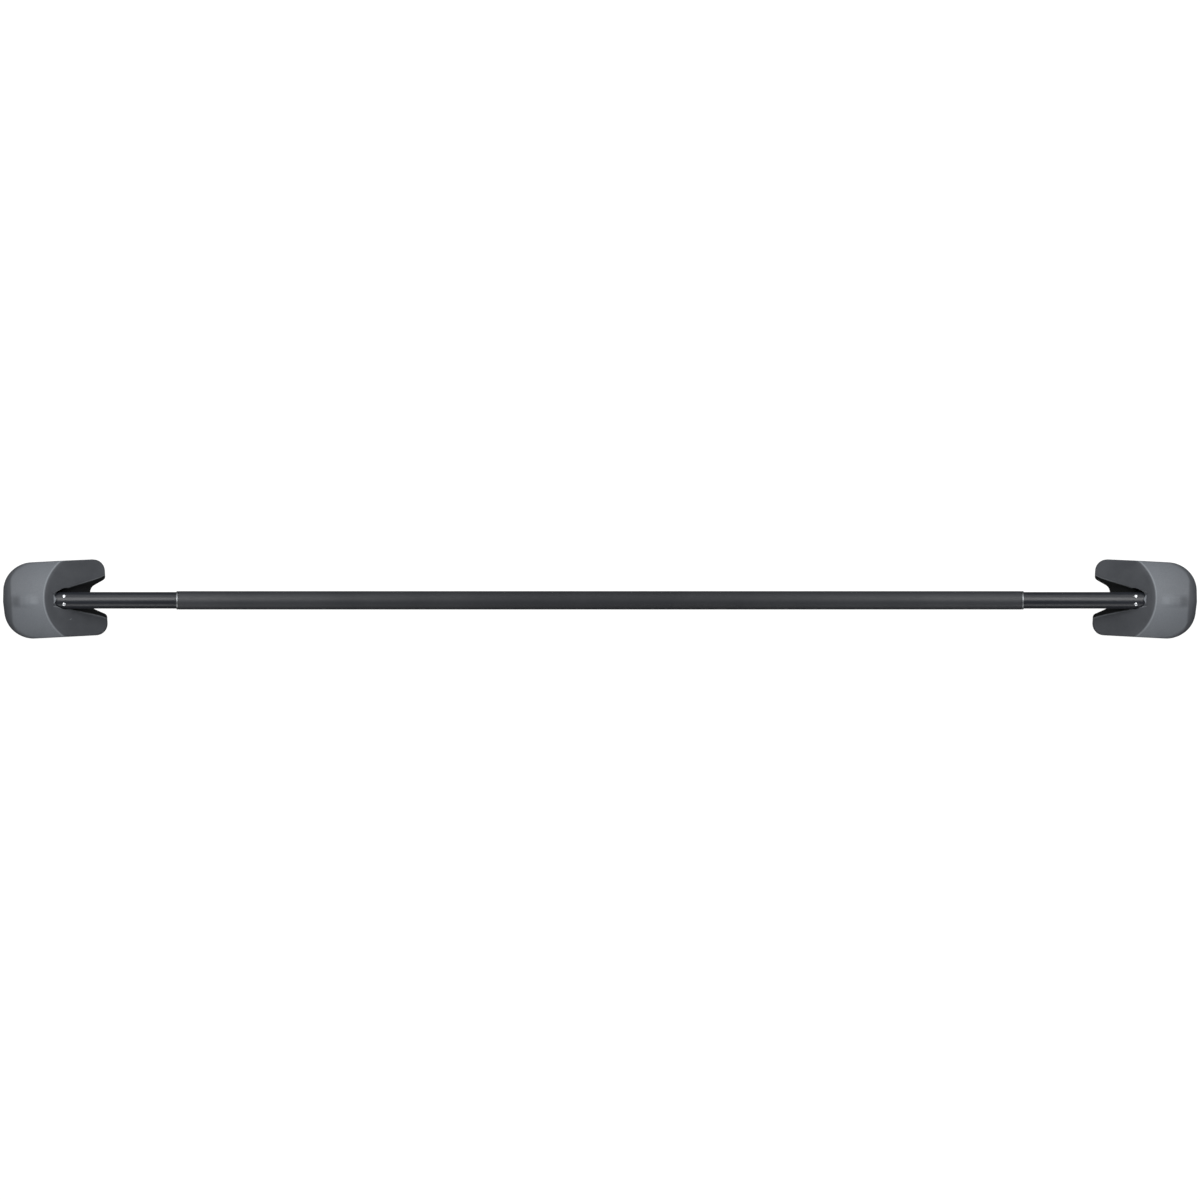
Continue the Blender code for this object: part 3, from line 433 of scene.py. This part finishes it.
def coat(name, dark, light, roughness, grain, bump, metallic=0.0, wear_and_highlight_colour=None, tone_scale=12.0,
         specular=0.5, clear=0.0, wear_and_highlight_at=(0.53, 0.60), painted_light=None):
    """A finish with cloudy tone, grain in its height and roughness, and an edge colour for wear and painted
    highlight.

    dark and light are the two tones; roughness is a (smooth, rough) pair; grain is its scale per
    metre; bump is its strength; wear_and_highlight_colour is the colour that shows through at the
    edges, as wear, and on the saddles also as a painted highlight; painted_light is three colours of
    painted light: a lighter tone for faces that don't tip towards an end, a highlight on the crest of
    a crease, and a highlight on a lip."""
    material = bpy.data.materials.new(name)
    material.use_nodes = True
    tree = material.node_tree
    shader = tree.nodes["Principled BSDF"]
    shader.inputs["Metallic"].default_value = metallic
    shader.inputs["Specular IOR Level"].default_value = specular
    shader.inputs["Coat Weight"].default_value = clear
    shader.inputs["Coat Roughness"].default_value = 0.08
    tone = place_group(tree, TONE, Scale=tone_scale)
    fine = place_group(tree, GRAIN, Scale=grain)
    colour = blend_colour(tree, tone.outputs["Mask"], dark, light)
    # Painted light: level tops painted lighter, and painted highlights on the crease and the mouth's lips, chosen
    # by which way the surface faces.
    if painted_light is not None:
        facing = place_group(tree, PAINTED_LIGHT)
        colour = blend_colour(tree, facing.outputs["Painted Top Light"], colour, painted_light[0])
        colour = blend_colour(tree, facing.outputs["Painted Crest Highlight"], colour, painted_light[1])
        colour = blend_colour(tree, facing.outputs["Painted Lip Highlight"], colour, painted_light[2])
    speck = blend_colour(tree, span(tree, fine.outputs["Mask"], 0.0, 0.20), colour, dark)
    # The edge colour shows wear, and on the saddles also a painted highlight on the rounded edges.
    if wear_and_highlight_colour is not None:
        wear_and_highlight_mask = place_group(tree, WEAR_AND_HIGHLIGHT, Start=wear_and_highlight_at[0], End=wear_and_highlight_at[1])
        speck = blend_colour(tree, wear_and_highlight_mask.outputs["Mask"], speck, wear_and_highlight_colour)
    tree.links.new(speck, shader.inputs["Base Color"])
    tree.links.new(span(tree, fine.outputs["Mask"], *roughness), shader.inputs["Roughness"])
    height = add(tree, "ShaderNodeBump", Strength=bump, Distance=0.0002)
    tree.links.new(fine.outputs["Height"], height.inputs["Height"])
    tree.links.new(height.outputs["Normal"], shader.inputs["Normal"])
    return material


FINISHES = {
    "grip_black": coat("grip_black", (0.026, 0.028, 0.033), (0.036, 0.038, 0.043), (0.46, 0.62),
                       1400.0, 0.35, specular=0.5),
    "gloss_black": coat("gloss_black", (0.014, 0.016, 0.021), (0.020, 0.022, 0.028), (0.30, 0.36),
                        700.0, 0.04, tone_scale=8.0, specular=0.42),
    "cover_grey": coat("cover_grey", (0.058, 0.062, 0.070), (0.075, 0.080, 0.089), (0.54, 0.68),
                       # the pale edge colour is wear and also a painted highlight on the rounded edges
                       1500.0, 0.25, specular=0.35, wear_and_highlight_colour=(0.17, 0.18, 0.195), tone_scale=30.0,
                       wear_and_highlight_at=(0.53, 0.62),
                       # painted light: a lighter level top, a highlight on the crease and a highlight on the
                       # mouth's lips
                       painted_light=((0.158, 0.171, 0.188), (0.225, 0.242, 0.262), (0.150, 0.160, 0.172))),
    # painted shade: near black for the mouth's walls and the shelf, standing in for the shade in the recess
    "throat_painted_shade": coat("throat_painted_shade", (0.007, 0.008, 0.009), (0.011, 0.012, 0.013), (0.60, 0.75),
                        1500.0, 0.25, specular=0.2),
    "satin_steel": coat("satin_steel", (0.20, 0.21, 0.22), (0.26, 0.27, 0.28), (0.40, 0.50),
                        900.0, 0.05, metallic=1.0),
    "bright_steel": coat("bright_steel", (0.78, 0.80, 0.83), (0.88, 0.90, 0.92), (0.24, 0.34),
                         900.0, 0.05, metallic=1.0),
    "zinc_steel": coat("zinc_steel", (0.46, 0.47, 0.48), (0.60, 0.60, 0.58), (0.30, 0.45),
                       500.0, 0.12, metallic=1.0, wear_and_highlight_colour=(0.72, 0.72, 0.70), tone_scale=40.0),
    "liner_rubber": coat("liner_rubber", (0.016, 0.016, 0.017), (0.026, 0.026, 0.027), (0.70, 0.90),
                         1100.0, 0.5, specular=0.3),
    "nylon": coat("nylon", (0.56, 0.56, 0.52), (0.66, 0.65, 0.61), (0.40, 0.55), 600.0, 0.1),
    "knob_black": coat("knob_black", (0.018, 0.018, 0.020), (0.028, 0.028, 0.031), (0.38, 0.55),
                       1000.0, 0.3, wear_and_highlight_colour=(0.07, 0.07, 0.075)),
}
print("finishes:", ", ".join(FINISHES))

# %% [markdown]
# ## Tubes and rings
#
# A tube is the simplest turned shape: the section of its wall, carried round the bar's axis. The
# section is a thin rectangle with softened corners, so that light catches the mouth of the tube
# the way it does on a real cut end. The grip gets its sizes from the fixed model's box.

# %% Grip, sliding tubes and polished rings


def wall_section(low, high, outer, inner, edge):
    """The wall of a tube from x = low to x = high as a closed rounded outline of (x, radius)."""
    corners = [(low, inner), (low, outer), (high, outer), (high, inner)]
    return softened(corners, edge, steps=6)


def tube_facts(node):
    """Lowest and highest x, and outer radius, of a round node that lies on the bar's axis."""
    low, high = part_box(node)
    return low.x, high.x, (high.y - low.y) / 2


GRIP_WALL = 1.1 * MM
TUBE_WALL = 2.0 * MM
low, high, grip_radius = tube_facts("grip_tube")
grip_mesh = turned_on_bar("grip_surface", wall_section(low, high, grip_radius, grip_radius - GRIP_WALL,
                                                       0.4 * MM))
place_piece("grip_surface", grip_mesh, FINISHES["grip_black"], "grip", ["grip_tube"])

for word in SIDES:
    low, high, tube_radius = tube_facts(word + "_extension_tube")
    mesh = turned_on_bar(word + "_sliding_tube",
                         wall_section(low, high, tube_radius, tube_radius - TUBE_WALL, 0.5 * MM))
    place_piece(word + "_sliding_tube", mesh, FINISHES["gloss_black"], word + "_arm",
                [word + "_extension_tube"])
    low, high, ring_radius = tube_facts(word + "_trim_ring")
    mesh = turned_on_bar(word + "_polished_ring",
                         wall_section(low, high, ring_radius, tube_radius + 0.3 * MM, 1.1 * MM))
    place_piece(word + "_polished_ring", mesh, FINISHES["satin_steel"], "grip",
                [word + "_trim_ring"])
print("tubes made, grip radius in mm:", round(grip_radius / MM, 2))

# %% [markdown]
# ## Saddle cover
#
# The cover is one moulded shell. Seen from above its outline is a rounded block with a V-shaped
# mouth. Its top is a barrel whose axis runs with the bar, planed off by a slope that faces the
# middle of the bar, and the arc where the two meet is the crease that catches the light; its finish
# also paints a highlight along the crease and paints the level top lighter than the slope.
#
# Cutting such a body out of solids leaves hard edges. Here it is one function of two numbers
# instead: the first goes round the outline, the second goes from the outer foot up the wall, over
# the top and down into the mouth. The height of the top is a formula, and the soft minimum in it
# is what rounds the crease.

# %% The cover's own sizes
SADDLE_LENGTH = 153.0 * MM
HALF_WIDTH = 58.6 * MM
PIVOT_INSET = 48.0 * MM
END_CORNER = 44.0 * MM
END_BOW = 1.0 * MM
LOBE_CORNER = 18.0 * MM
TIP_CORNER = 4.5 * MM
MOUTH_CORNER = 0.8 * MM
RIDGE_HEIGHT = 84.5 * MM
BARREL_RADIUS = 77.0 * MM
FLANK_START = 79.0 * MM
FLANK_HEIGHT = 72.0 * MM
FLANK_ANGLE = math.radians(41.0)
CREASE_SOFTNESS = 4.2 * MM
SLOPE_CROWN = 2.0 * MM
SLOPE_HOLLOW = 2.0 * MM
SLOPE_MIDDLE = 110.0 * MM
SLOPE_REACH = 40.0 * MM
MOUTH_START = 77.0 * MM
MOUTH_HALF_WIDTH = 10.7 * MM
MOUTH_SPREAD = math.tan(math.radians(15.6))
FOOT_MOUTH_START = 128.3 * MM
FOOT_MOUTH_HALF = 17.0 * MM
FOOT_MOUTH_END = 27.6 * MM
BULGE_RISE = 1.7 * MM
CREASE_INSET = FLANK_START - (RIDGE_HEIGHT - FLANK_HEIGHT) / math.tan(FLANK_ANGLE)
CROWN_TILT = math.radians(5.0)
BULGE_NOSE = (13.0 * MM, 30.0 * MM)
BULGE_FLANK = (12.0 * MM, 4.0 * MM)
BULGE_TAIL = (60.0 * MM, 34.0 * MM)
BEAK_LENGTH = 6.3 * MM
BEAK_LOW = AXIS_HEIGHT + 13.5 * MM
BEAK_HIGH = BEAK_LOW + 2.2 * MM
SHELF_TOP = 43.3 * MM
SHELF_THICKNESS = 4.0 * MM
SHELF_START = 76.6 * MM
SHELF_END = 96.0 * MM
SHELF_HALF_WIDTH = 20.0 * MM
END_FALL = 9.0 * MM
END_FALL_REACH = 16.0 * MM
COVER_WALL = 4.4 * MM
TIP_REACH = 1.0 * MM
TIP_SKIN = 2.0 * MM
TOP_SKIN = 1.5 * MM
SLOT_START = 13.2 * MM
SLOT_END = 68.2 * MM
SLOT_HEIGHT = 42.0 * MM
PASSAGE_GAP = 0.7 * MM
PASSAGE_STATIONS = (10.0 * MM, 150.0 * MM)
PASSAGE_SPREAD = math.tan(math.radians(3.8))
THROAT_DEPTH = 2.6 * MM

# %% The height of the top


def soft_min(a, b, width):
    """The smaller of two arrays, rounded over where they are closer than the width."""
    h = np.clip(0.5 + 0.5 * (b - a) / width, 0, 1)
    return b + (a - b) * h - width * h * (1 - h)


def ease(x, start, end):
    """0 at start, 1 at end and beyond, with no corner at either: 3t squared less 2t cubed."""
    t = np.clip((x - start) / (end - start), 0, 1)
    return t * t * (3 - 2 * t)


def slope_height(u, v):
    """Height of the slope: a plane that falls with u, crowned across and hollowed along."""
    plane = FLANK_HEIGHT - (u - FLANK_START) * math.tan(FLANK_ANGLE)
    crowned = plane - SLOPE_CROWN * (v / HALF_WIDTH) ** 2
    return crowned + SLOPE_HOLLOW * ((u - SLOPE_MIDDLE) / SLOPE_REACH) ** 2


def top_height(u, v):
    """Height of the cover over a point: u from the outer end towards the middle, v across.

    Barrel: ridge height less radius, plus the root of radius squared less v squared. Bulge: three
    eased steps multiplied, so it has a nose, two flanks and a fading tail."""
    barrel = RIDGE_HEIGHT - BARREL_RADIUS + np.sqrt(np.maximum(BARREL_RADIUS**2 - v**2, 0))
    end_fall = np.maximum(CREASE_INSET - u, 0) ** 2 / CREASE_INSET * math.tan(CROWN_TILT)
    end_fall = end_fall + END_FALL * np.clip(1 - u / END_FALL_REACH, 0, 1) ** 2
    bulge = BULGE_RISE * ease(u, *BULGE_NOSE) * ease(np.abs(v), *BULGE_FLANK) * ease(u, *BULGE_TAIL)
    crown = barrel - end_fall + bulge
    slope = slope_height(u, v)
    return soft_min(crown, slope, CREASE_SOFTNESS)


# %% The outline, outer side and mouth side


def arc_points(centre, radius, start, end, steps):
    """Points on an arc, angles in degrees."""
    a = np.radians(np.linspace(start, end, steps))
    return np.stack([centre[0] + radius * np.cos(a), centre[1] + radius * np.sin(a)], -1)


def along(path, shares):
    """Points at the given shares of a path's length."""
    step = np.linalg.norm(np.diff(path, axis=0), axis=1)
    run = np.concatenate([[0], np.cumsum(step)]) / step.sum()
    return np.stack([np.interp(shares, run, path[:, i]) for i in range(2)], -1)


tip_v = HALF_WIDTH - LOBE_CORNER
outer_half = np.concatenate([
    [[SADDLE_LENGTH, tip_v - 4.0 * MM]],
    arc_points((SADDLE_LENGTH - LOBE_CORNER, tip_v), LOBE_CORNER, 0, 90, 14),
    arc_points((END_BOW + END_CORNER, HALF_WIDTH - END_CORNER), END_CORNER, 90, 180, 40),
    [[0.0, 0.0]],
])
mouth_tip = MOUTH_HALF_WIDTH + (SADDLE_LENGTH - MOUTH_START) * MOUTH_SPREAD
mouth_half = softened([
    (SADDLE_LENGTH, tip_v - 4.0 * MM), (SADDLE_LENGTH, mouth_tip),
    (MOUTH_START, MOUTH_HALF_WIDTH), (MOUTH_START, 0.0)],
    [0.0, TIP_CORNER, MOUTH_CORNER, 0.0], 8, closed=False)
foot_half = softened([
    (SADDLE_LENGTH, tip_v - 4.0 * MM), (SADDLE_LENGTH, FOOT_MOUTH_END),
    (FOOT_MOUTH_START + 3.5 * MM, FOOT_MOUTH_HALF), (FOOT_MOUTH_START, 0.55 * FOOT_MOUTH_HALF),
    (FOOT_MOUTH_START, 0.0)], TIP_CORNER, 8, closed=False)


def whole(half):
    """A half path from the lobe's tip to the centre line, carried on down its mirror image."""
    return np.concatenate([half, half[-2::-1] * (1, -1)])


OUTER, MOUTH, FOOT = whole(outer_half), whole(mouth_half), whole(foot_half)

# %% The grid of the shell


def column_shares(count):
    """Even shares round the outline, with a pair of columns a hair apart at each edge of the beam
    slot, so that the foot can jump from the floor to the slot's roof between them, and a column at
    every point of the mouth's inmost corners."""
    shares = np.linspace(0, 1, count)
    path = along(OUTER, np.linspace(0, 1, 20001))
    edges = []
    for limit in (SLOT_START, SLOT_END):
        crossed = np.nonzero(np.diff(np.sign(path[:, 0] - limit)))[0]
        edges += [(i + 0.5) / 20000 for i in crossed]
    hair = 0.0004
    pairs = np.array([[e - hair, e + hair] for e in edges]).ravel()
    step = np.linalg.norm(np.diff(MOUTH, axis=0), axis=1)
    run = np.concatenate([[0], np.cumsum(step)]) / step.sum()
    corners = run[MOUTH[:, 0] < MOUTH_START + 1.5 * MM]
    return np.unique(np.concatenate([shares, pairs, corners]).round(6))


def shell_points(count=230, wall=9, rounding=7, top=84):
    """Rows from the outer foot to the mouth's foot, columns round the outline.

    Wall: straight from foot to edge. Rounding: a quadratic curve with the edge as its control
    point. Top: straight across in plan, with the height formula. The mouth's wall is ruled from
    its edge on the slope to its own outline at the foot. At a lobe's tip the column that goes up
    and the one that comes down are one, so their points are made the same and the seam closes."""
    s = column_shares(count)
    outer, mouth, foot = along(OUTER, s), along(MOUTH, s), along(FOOT, s)
    u = outer[:, 0]
    ends = np.clip(np.minimum(s, 1 - s) / 0.04, 0, 1)
    across = mouth - outer
    reach = np.linalg.norm(across, axis=1)
    edge_radius = (3.0 + 4.5 * np.clip((60.0 * MM - u) / (40.0 * MM), 0, 1)) * MM * (0.25 + 0.75 * ends)
    lip_radius = 2.8 * MM * ends * np.clip((mouth[:, 0] - MOUTH_START) / (20.0 * MM), 0.2, 1) + 0.4 * MM
    direction = across / np.maximum(reach, 1e-6)[:, None]
    edge_radius = np.minimum(edge_radius, 0.35 * reach)
    lip_radius = np.minimum(lip_radius, 0.30 * reach)

    def lifted(plan):
        return np.concatenate([plan, top_height(plan[..., 0], plan[..., 1])[..., None]], -1)

    inner_start = outer + direction * edge_radius[:, None]
    inner_end = mouth - direction * lip_radius[:, None]
    edge, lip = lifted(outer), lifted(mouth)
    slot = (u > SLOT_START) & (u < SLOT_END) & (np.abs(outer[:, 1]) > 1.0 * MM)
    foot_height = np.where(slot, SLOT_HEIGHT, 0.0)
    outer_foot = np.concatenate([outer, foot_height[:, None]], -1)
    mouth_foot = np.concatenate([foot, np.zeros((len(s), 1))], -1)
    lip_height = np.maximum(lip[:, 2], 1.0 * MM)
    lip = np.concatenate([mouth, lip_height[:, None]], -1)

    def between(a, b, steps, last=False):
        t = np.linspace(0, 1, steps, endpoint=last)[:, None, None]
        return a + (b - a) * t

    def rounded(a, corner, b, steps):
        t = np.linspace(0, 1, steps, endpoint=False)[:, None, None]
        return (1 - t) ** 2 * a + 2 * t * (1 - t) * corner + t**2 * b

    down = (edge - outer_foot) / np.linalg.norm(edge - outer_foot, axis=1)[:, None]
    wall_top = edge - down * np.minimum(edge_radius, 0.4 * (edge[:, 2] - foot_height))[:, None]
    ruled = mouth_foot - lip
    ruled_length = np.linalg.norm(ruled, axis=1)[:, None]
    lip_low = lip + ruled / ruled_length * np.minimum(lip_radius[:, None], 0.4 * ruled_length)
    t = np.linspace(0, 1, top, endpoint=False)[:, None, None]
    plan = inner_start + (inner_end - inner_start) * t
    rows = [
        between(outer_foot, wall_top, wall),
        rounded(wall_top, edge, lifted(inner_start), rounding),
        lifted(plan),
        rounded(lifted(inner_end), lip, lip_low, rounding),
        between(lip_low, mouth_foot, wall + 3, last=True),
    ]
    points = np.concatenate(rows)
    half = len(points) // 2
    for column in (0, -1):
        points[:-half - 1:-1, column] = points[:half, column]
    return points


shell = shell_points()
print("cover grid:", shell.shape[:2])

# %% Wall thickness and the opening for the tube


def evaluated_mesh(piece):
    """A plain mesh of a piece with its modifiers worked in."""
    graph = bpy.context.evaluated_depsgraph_get()
    return bpy.data.meshes.new_from_object(piece.evaluated_get(graph), depsgraph=graph)


def helper(name, mesh):
    piece = bpy.data.objects.new(name, mesh)
    bpy.context.scene.collection.objects.link(piece)
    return piece


def mesh_points(mesh):
    """The points of a mesh as rows of x, y and z."""
    points = np.empty(len(mesh.vertices) * 3)
    mesh.vertices.foreach_get("co", points)
    return points.reshape(-1, 3)


def keep_inside(mesh, count):
    """Corrects the inner skin, which is every point from count on, one for each of the outer skin.

    At the flat tips of the lobes, where the columns crowd, an inner point is the outer one set back
    along the bar by the wall. Everywhere else it only has to stay under the top."""
    points = mesh_points(mesh)
    outside, inside = points[:count], points[count:]
    tip = SADDLE_LENGTH - PIVOT_INSET
    inside[:, 0] = np.minimum(inside[:, 0], tip - TIP_SKIN)
    at_tip = outside[:, 0] > tip - TIP_REACH
    inside[at_tip] = outside[at_tip] - (COVER_WALL, 0, 0)
    ceiling = top_height(inside[:, 0] + PIVOT_INSET, inside[:, 1]) - TOP_SKIN
    inside[:, 2] = np.minimum(inside[:, 2], ceiling)
    mesh.vertices.foreach_set("co", points.ravel())
    mesh.update()


def passage_mesh():
    """Room for the tube at every swivel angle: rounded slots that widen away from the pivot."""
    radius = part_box("left_extension_tube")[1].z - AXIS_HEIGHT + PASSAGE_GAP
    a = np.linspace(-np.pi / 2, np.pi / 2, 24)
    half = np.stack([np.cos(a), np.sin(a)], -1) * radius
    rings = []
    for x in PASSAGE_STATIONS:
        wide = x * PASSAGE_SPREAD
        ring = np.concatenate([half + (wide, 0), half[::-1] * (-1, 1) - (wide, 0)])
        rings.append(np.concatenate([np.full((len(ring), 1), x), ring + (0, AXIS_HEIGHT)], -1))
    rings = [np.broadcast_to(rings[0].mean(0), rings[0].shape)] + rings
    rings.append(np.broadcast_to(rings[-1].mean(0), rings[-1].shape))
    points = np.stack(rings)
    return mesh_from("tube_passage", points, grid_faces(len(rings), points.shape[1], False, True))


shell[..., 0] -= PIVOT_INSET
sheet = mesh_from("cover_sheet", shell, grid_faces(*shell.shape[:2])[:, ::-1], seam=0.001 * MM)
cover_blank = helper("cover_blank", sheet)
thicken = cover_blank.modifiers.new("wall", "SOLIDIFY")
thicken.thickness = COVER_WALL
thicken.offset = -1.0
thicken.use_even_offset = False
solid = evaluated_mesh(cover_blank)
keep_inside(solid, len(sheet.vertices))
bpy.data.objects.remove(cover_blank, do_unlink=True)
cover_blank = helper("cover_blank", solid)
cutter = helper("tube_passage", passage_mesh())
opening = cover_blank.modifiers.new("passage", "BOOLEAN")
opening.operation = "DIFFERENCE"
opening.object = cutter
cover_mesh = evaluated_mesh(cover_blank)
for used in (cover_blank, cutter):
    bpy.data.objects.remove(used, do_unlink=True)
points = mesh_points(cover_mesh)
points[:, 2] = np.maximum(points[:, 2], 0.0)
cover_mesh.vertices.foreach_set("co", points.ravel())
print("cover faces:", len(cover_mesh.polygons))

# %% Both covers in place


def end_placing(side, swing):
    """Matrix from an end's own frame to the world: the right end is turned half a turn, and what
    swivels is swung about its bolt, the other way at the other end."""
    turn = (0.0 if side < 0 else math.pi) - side * swing
    c, s = math.cos(turn), math.sin(turn)
    return np.array([[c, -s, 0, side * PIVOT_X], [s, c, 0, 0], [0, 0, 1, 0], [0, 0, 0, 1]])


def moved_copy(mesh, name, matrix):
    copy = mesh.copy()
    copy.name = name
    points = mesh_points(copy) @ matrix[:3, :3].T + matrix[:3, 3]
    copy.vertices.foreach_set("co", points.ravel())
    copy.update()
    return copy


def in_throat(mesh):
    """For each face, whether it belongs to the walls of the mouth below the slope, which get the painted shade."""
    middles = np.empty(len(mesh.polygons) * 3)
    mesh.polygons.foreach_get("center", middles)
    x, v, z = middles.reshape(-1, 3).T
    u = x + PIVOT_INSET
    half = MOUTH_HALF_WIDTH + (u - MOUTH_START) * MOUTH_SPREAD + 0.5 * MM
    slope = slope_height(u, v)
    return (u > MOUTH_START - 1.0 * MM) & (np.abs(v) < half) & (z < slope - THROAT_DEPTH)


def prism_mesh(name, outline, low, high, edge=0.5 * MM):
    """A flat outline given thickness, with a row set in at each face so that its edges are eased."""
    outline = np.asarray(outline, float)
    middle = outline.mean(0)
    inward = middle - outline
    set_in = outline + inward / np.linalg.norm(inward, axis=1)[:, None] * edge
    rows = [(set_in, low), (outline, low + edge), (outline, high - edge), (set_in, high)]
    rings = [np.concatenate([plan, np.full((len(plan), 1), z)], -1) for plan, z in rows]
    centre = np.broadcast_to(middle, outline.shape)
    caps = [np.concatenate([centre, np.full((len(centre), 1), z)], -1) for z in (low, high)]
    points = np.stack([caps[0], *rings, caps[1]])
    return mesh_from(name, points, grid_faces(len(points), len(outline), False, True))


root = MOUTH_START - 5.0 * MM
beak_outline = softened([
    (root, -MOUTH_HALF_WIDTH), (MOUTH_START, -MOUTH_HALF_WIDTH), (MOUTH_START + BEAK_LENGTH, 0.0),
    (MOUTH_START, MOUTH_HALF_WIDTH), (root, MOUTH_HALF_WIDTH)], 0.6 * MM, 3)
shelf_outline = softened([
    (SHELF_START, -SHELF_HALF_WIDTH), (SHELF_END, -SHELF_HALF_WIDTH), (SHELF_END, SHELF_HALF_WIDTH),
    (SHELF_START, SHELF_HALF_WIDTH)], 1.0 * MM, 3)
inset_shift = np.array([PIVOT_INSET, 0.0])
beak_mesh = prism_mesh("beak", beak_outline - inset_shift, BEAK_LOW, BEAK_HIGH)
shelf_mesh = prism_mesh("shelf", shelf_outline - inset_shift, SHELF_TOP - SHELF_THICKNESS, SHELF_TOP)
throat = in_throat(cover_mesh)
for word, side in SIDES.items():
    place = end_placing(side, SWIVEL_REST)
    body, stands_for = word + "_saddle", [word + "_saddle_cover"]
    mesh = moved_copy(cover_mesh, word + "_moulded_cover", place)
    place_piece(word + "_moulded_cover", mesh, FINISHES["cover_grey"], body, stands_for,
                50.0)
    # The mouth's walls below the slope take the painted shade.
    mesh.materials.append(FINISHES["throat_painted_shade"])
    mesh.polygons.foreach_set("material_index", throat.astype(np.int32))
    place_piece(word + "_cover_beak", moved_copy(beak_mesh, word + "_cover_beak", place),
                FINISHES["cover_grey"], body, stands_for)
    # The shelf is a dark plate under the tube's passage, coloured with the painted shade.
    place_piece(word + "_cover_shelf", moved_copy(shelf_mesh, word + "_cover_shelf", place),
                FINISHES["throat_painted_shade"], body, stands_for)
print("mouth faces:", int(throat.sum()))

# %% [markdown]
# ## The two bright screws
#
# Each screw that holds the tube's end has a domed head with a small round recess. It is a turned
# shape too: one profile carried round the screw's own axis, which points straight out of the tube.

# %% Domed screws
SCREW_TILT = math.radians(27.0)
SCREW_STATION = 94.0 * MM - PIVOT_INSET
HEAD_RADIUS = 3.0 * MM
HEAD_SEAT = 13.0 * MM
HEAD_HEIGHT = 2.0 * MM
SHANK_RADIUS = 1.8 * MM
SHANK_END = 5.7 * MM


def screw_mesh(name, around=48):
    """Shank, flat seat, quarter-round dome and a blind recess, as (radius, height) down one side."""
    a = np.linspace(0.0, np.pi / 2, 12)
    dome = np.stack([HEAD_RADIUS * (0.42 + 0.58 * np.cos(a)), HEAD_SEAT + 0.5 * MM
                     + (HEAD_HEIGHT - 0.5 * MM) * np.sin(a)], -1)
    profile = np.concatenate([
        [[0.0, SHANK_END], [SHANK_RADIUS - 0.4 * MM, SHANK_END], [SHANK_RADIUS, SHANK_END + 0.4 * MM],
         [SHANK_RADIUS, HEAD_SEAT], [HEAD_RADIUS - 0.2 * MM, HEAD_SEAT],
         [HEAD_RADIUS, HEAD_SEAT + 0.2 * MM]],
        dome,
        [[1.1 * MM, HEAD_SEAT + HEAD_HEIGHT - 0.15 * MM], [0.9 * MM, HEAD_SEAT + 1.0 * MM],
         [0.0, HEAD_SEAT + 0.8 * MM]]])
    turn = np.linspace(0, 2 * np.pi, around, endpoint=False)[None, :]
    r, h = profile[:, :1], profile[:, 1:]
    points = np.stack(np.broadcast_arrays(r * np.cos(turn), r * np.sin(turn), h), -1)
    return mesh_from(name, points, grid_faces(len(profile), around, False, True))


screw_blank = screw_mesh("end_screw")
for word, side in SIDES.items():
    for number, sign in ((1, 1), (2, -1)):
        c, s = math.cos(-sign * SCREW_TILT), math.sin(-sign * SCREW_TILT)
        tilt = np.array([[1, 0, 0, SCREW_STATION], [0, c, -s, 0], [0, s, c, AXIS_HEIGHT], [0, 0, 0, 1]])
        name = f"{word}_domed_screw_{number}"
        mesh = moved_copy(screw_blank, name, end_placing(side, 0.0) @ tilt)
        place_piece(name, mesh, FINISHES["bright_steel"], word + "_arm",
                    [f"{word}_insert_screw_{number}"])

# %% [markdown]
# ## Pieces that keep their shape
#
# The fixed model's other pieces already have the right form. Their meshes are loose triangles, so
# each one is copied, its points are merged, and a narrow bevel rounds its edges for the light to
# catch.

# %% Merged copies with rounded edges
REFINISHED = {
    "saddle": ["saddle_bracket", "rail_pad", "pivot_bolt", "pivot_nut", "nut_washer", "thrust_washer",
               "cover_screw_1", "cover_screw_2", "cover_screw_3", "cover_screw_4"],
    "arm": ["end_insert", "guide_plug"],
    "lock": ["lock_screw"],
    "": ["lock_boss"],
}
SLOTS = {row["node"]: row["material_slot"] for row in frame["record"]["subparts"]}


def refinish(node, body, edge=0.25 * MM):
    """A merged copy of a node, with flat triangles joined into whole faces and a narrow bevel."""
    source = frame["nodes"][node]
    source = source if hasattr(source, "data") else bpy.data.objects[source]
    mesh = source.data.copy()
    mesh.name = node + "_finished"
    work = bmesh.new()
    work.from_mesh(mesh)
    bmesh.ops.remove_doubles(work, verts=work.verts, dist=0.01 * MM)
    bmesh.ops.dissolve_limit(work, angle_limit=math.radians(1.0), verts=work.verts, edges=work.edges)
    work.to_mesh(mesh)
    work.free()
    piece = place_piece(node + "_finished", mesh, FINISHES[SLOTS[node]], body, [node], 35.0)
    bevel = piece.modifiers.new("edges", "BEVEL")
    bevel.width = edge
    bevel.segments = 2
    bevel.limit_method = "ANGLE"
    bevel.angle_limit = math.radians(35)
    bevel.harden_normals = True
    return piece


for word in SIDES:
    for group, names in REFINISHED.items():
        for name in names:
            refinish(f"{word}_{name}", f"{word}_{group}" if group else "grip")
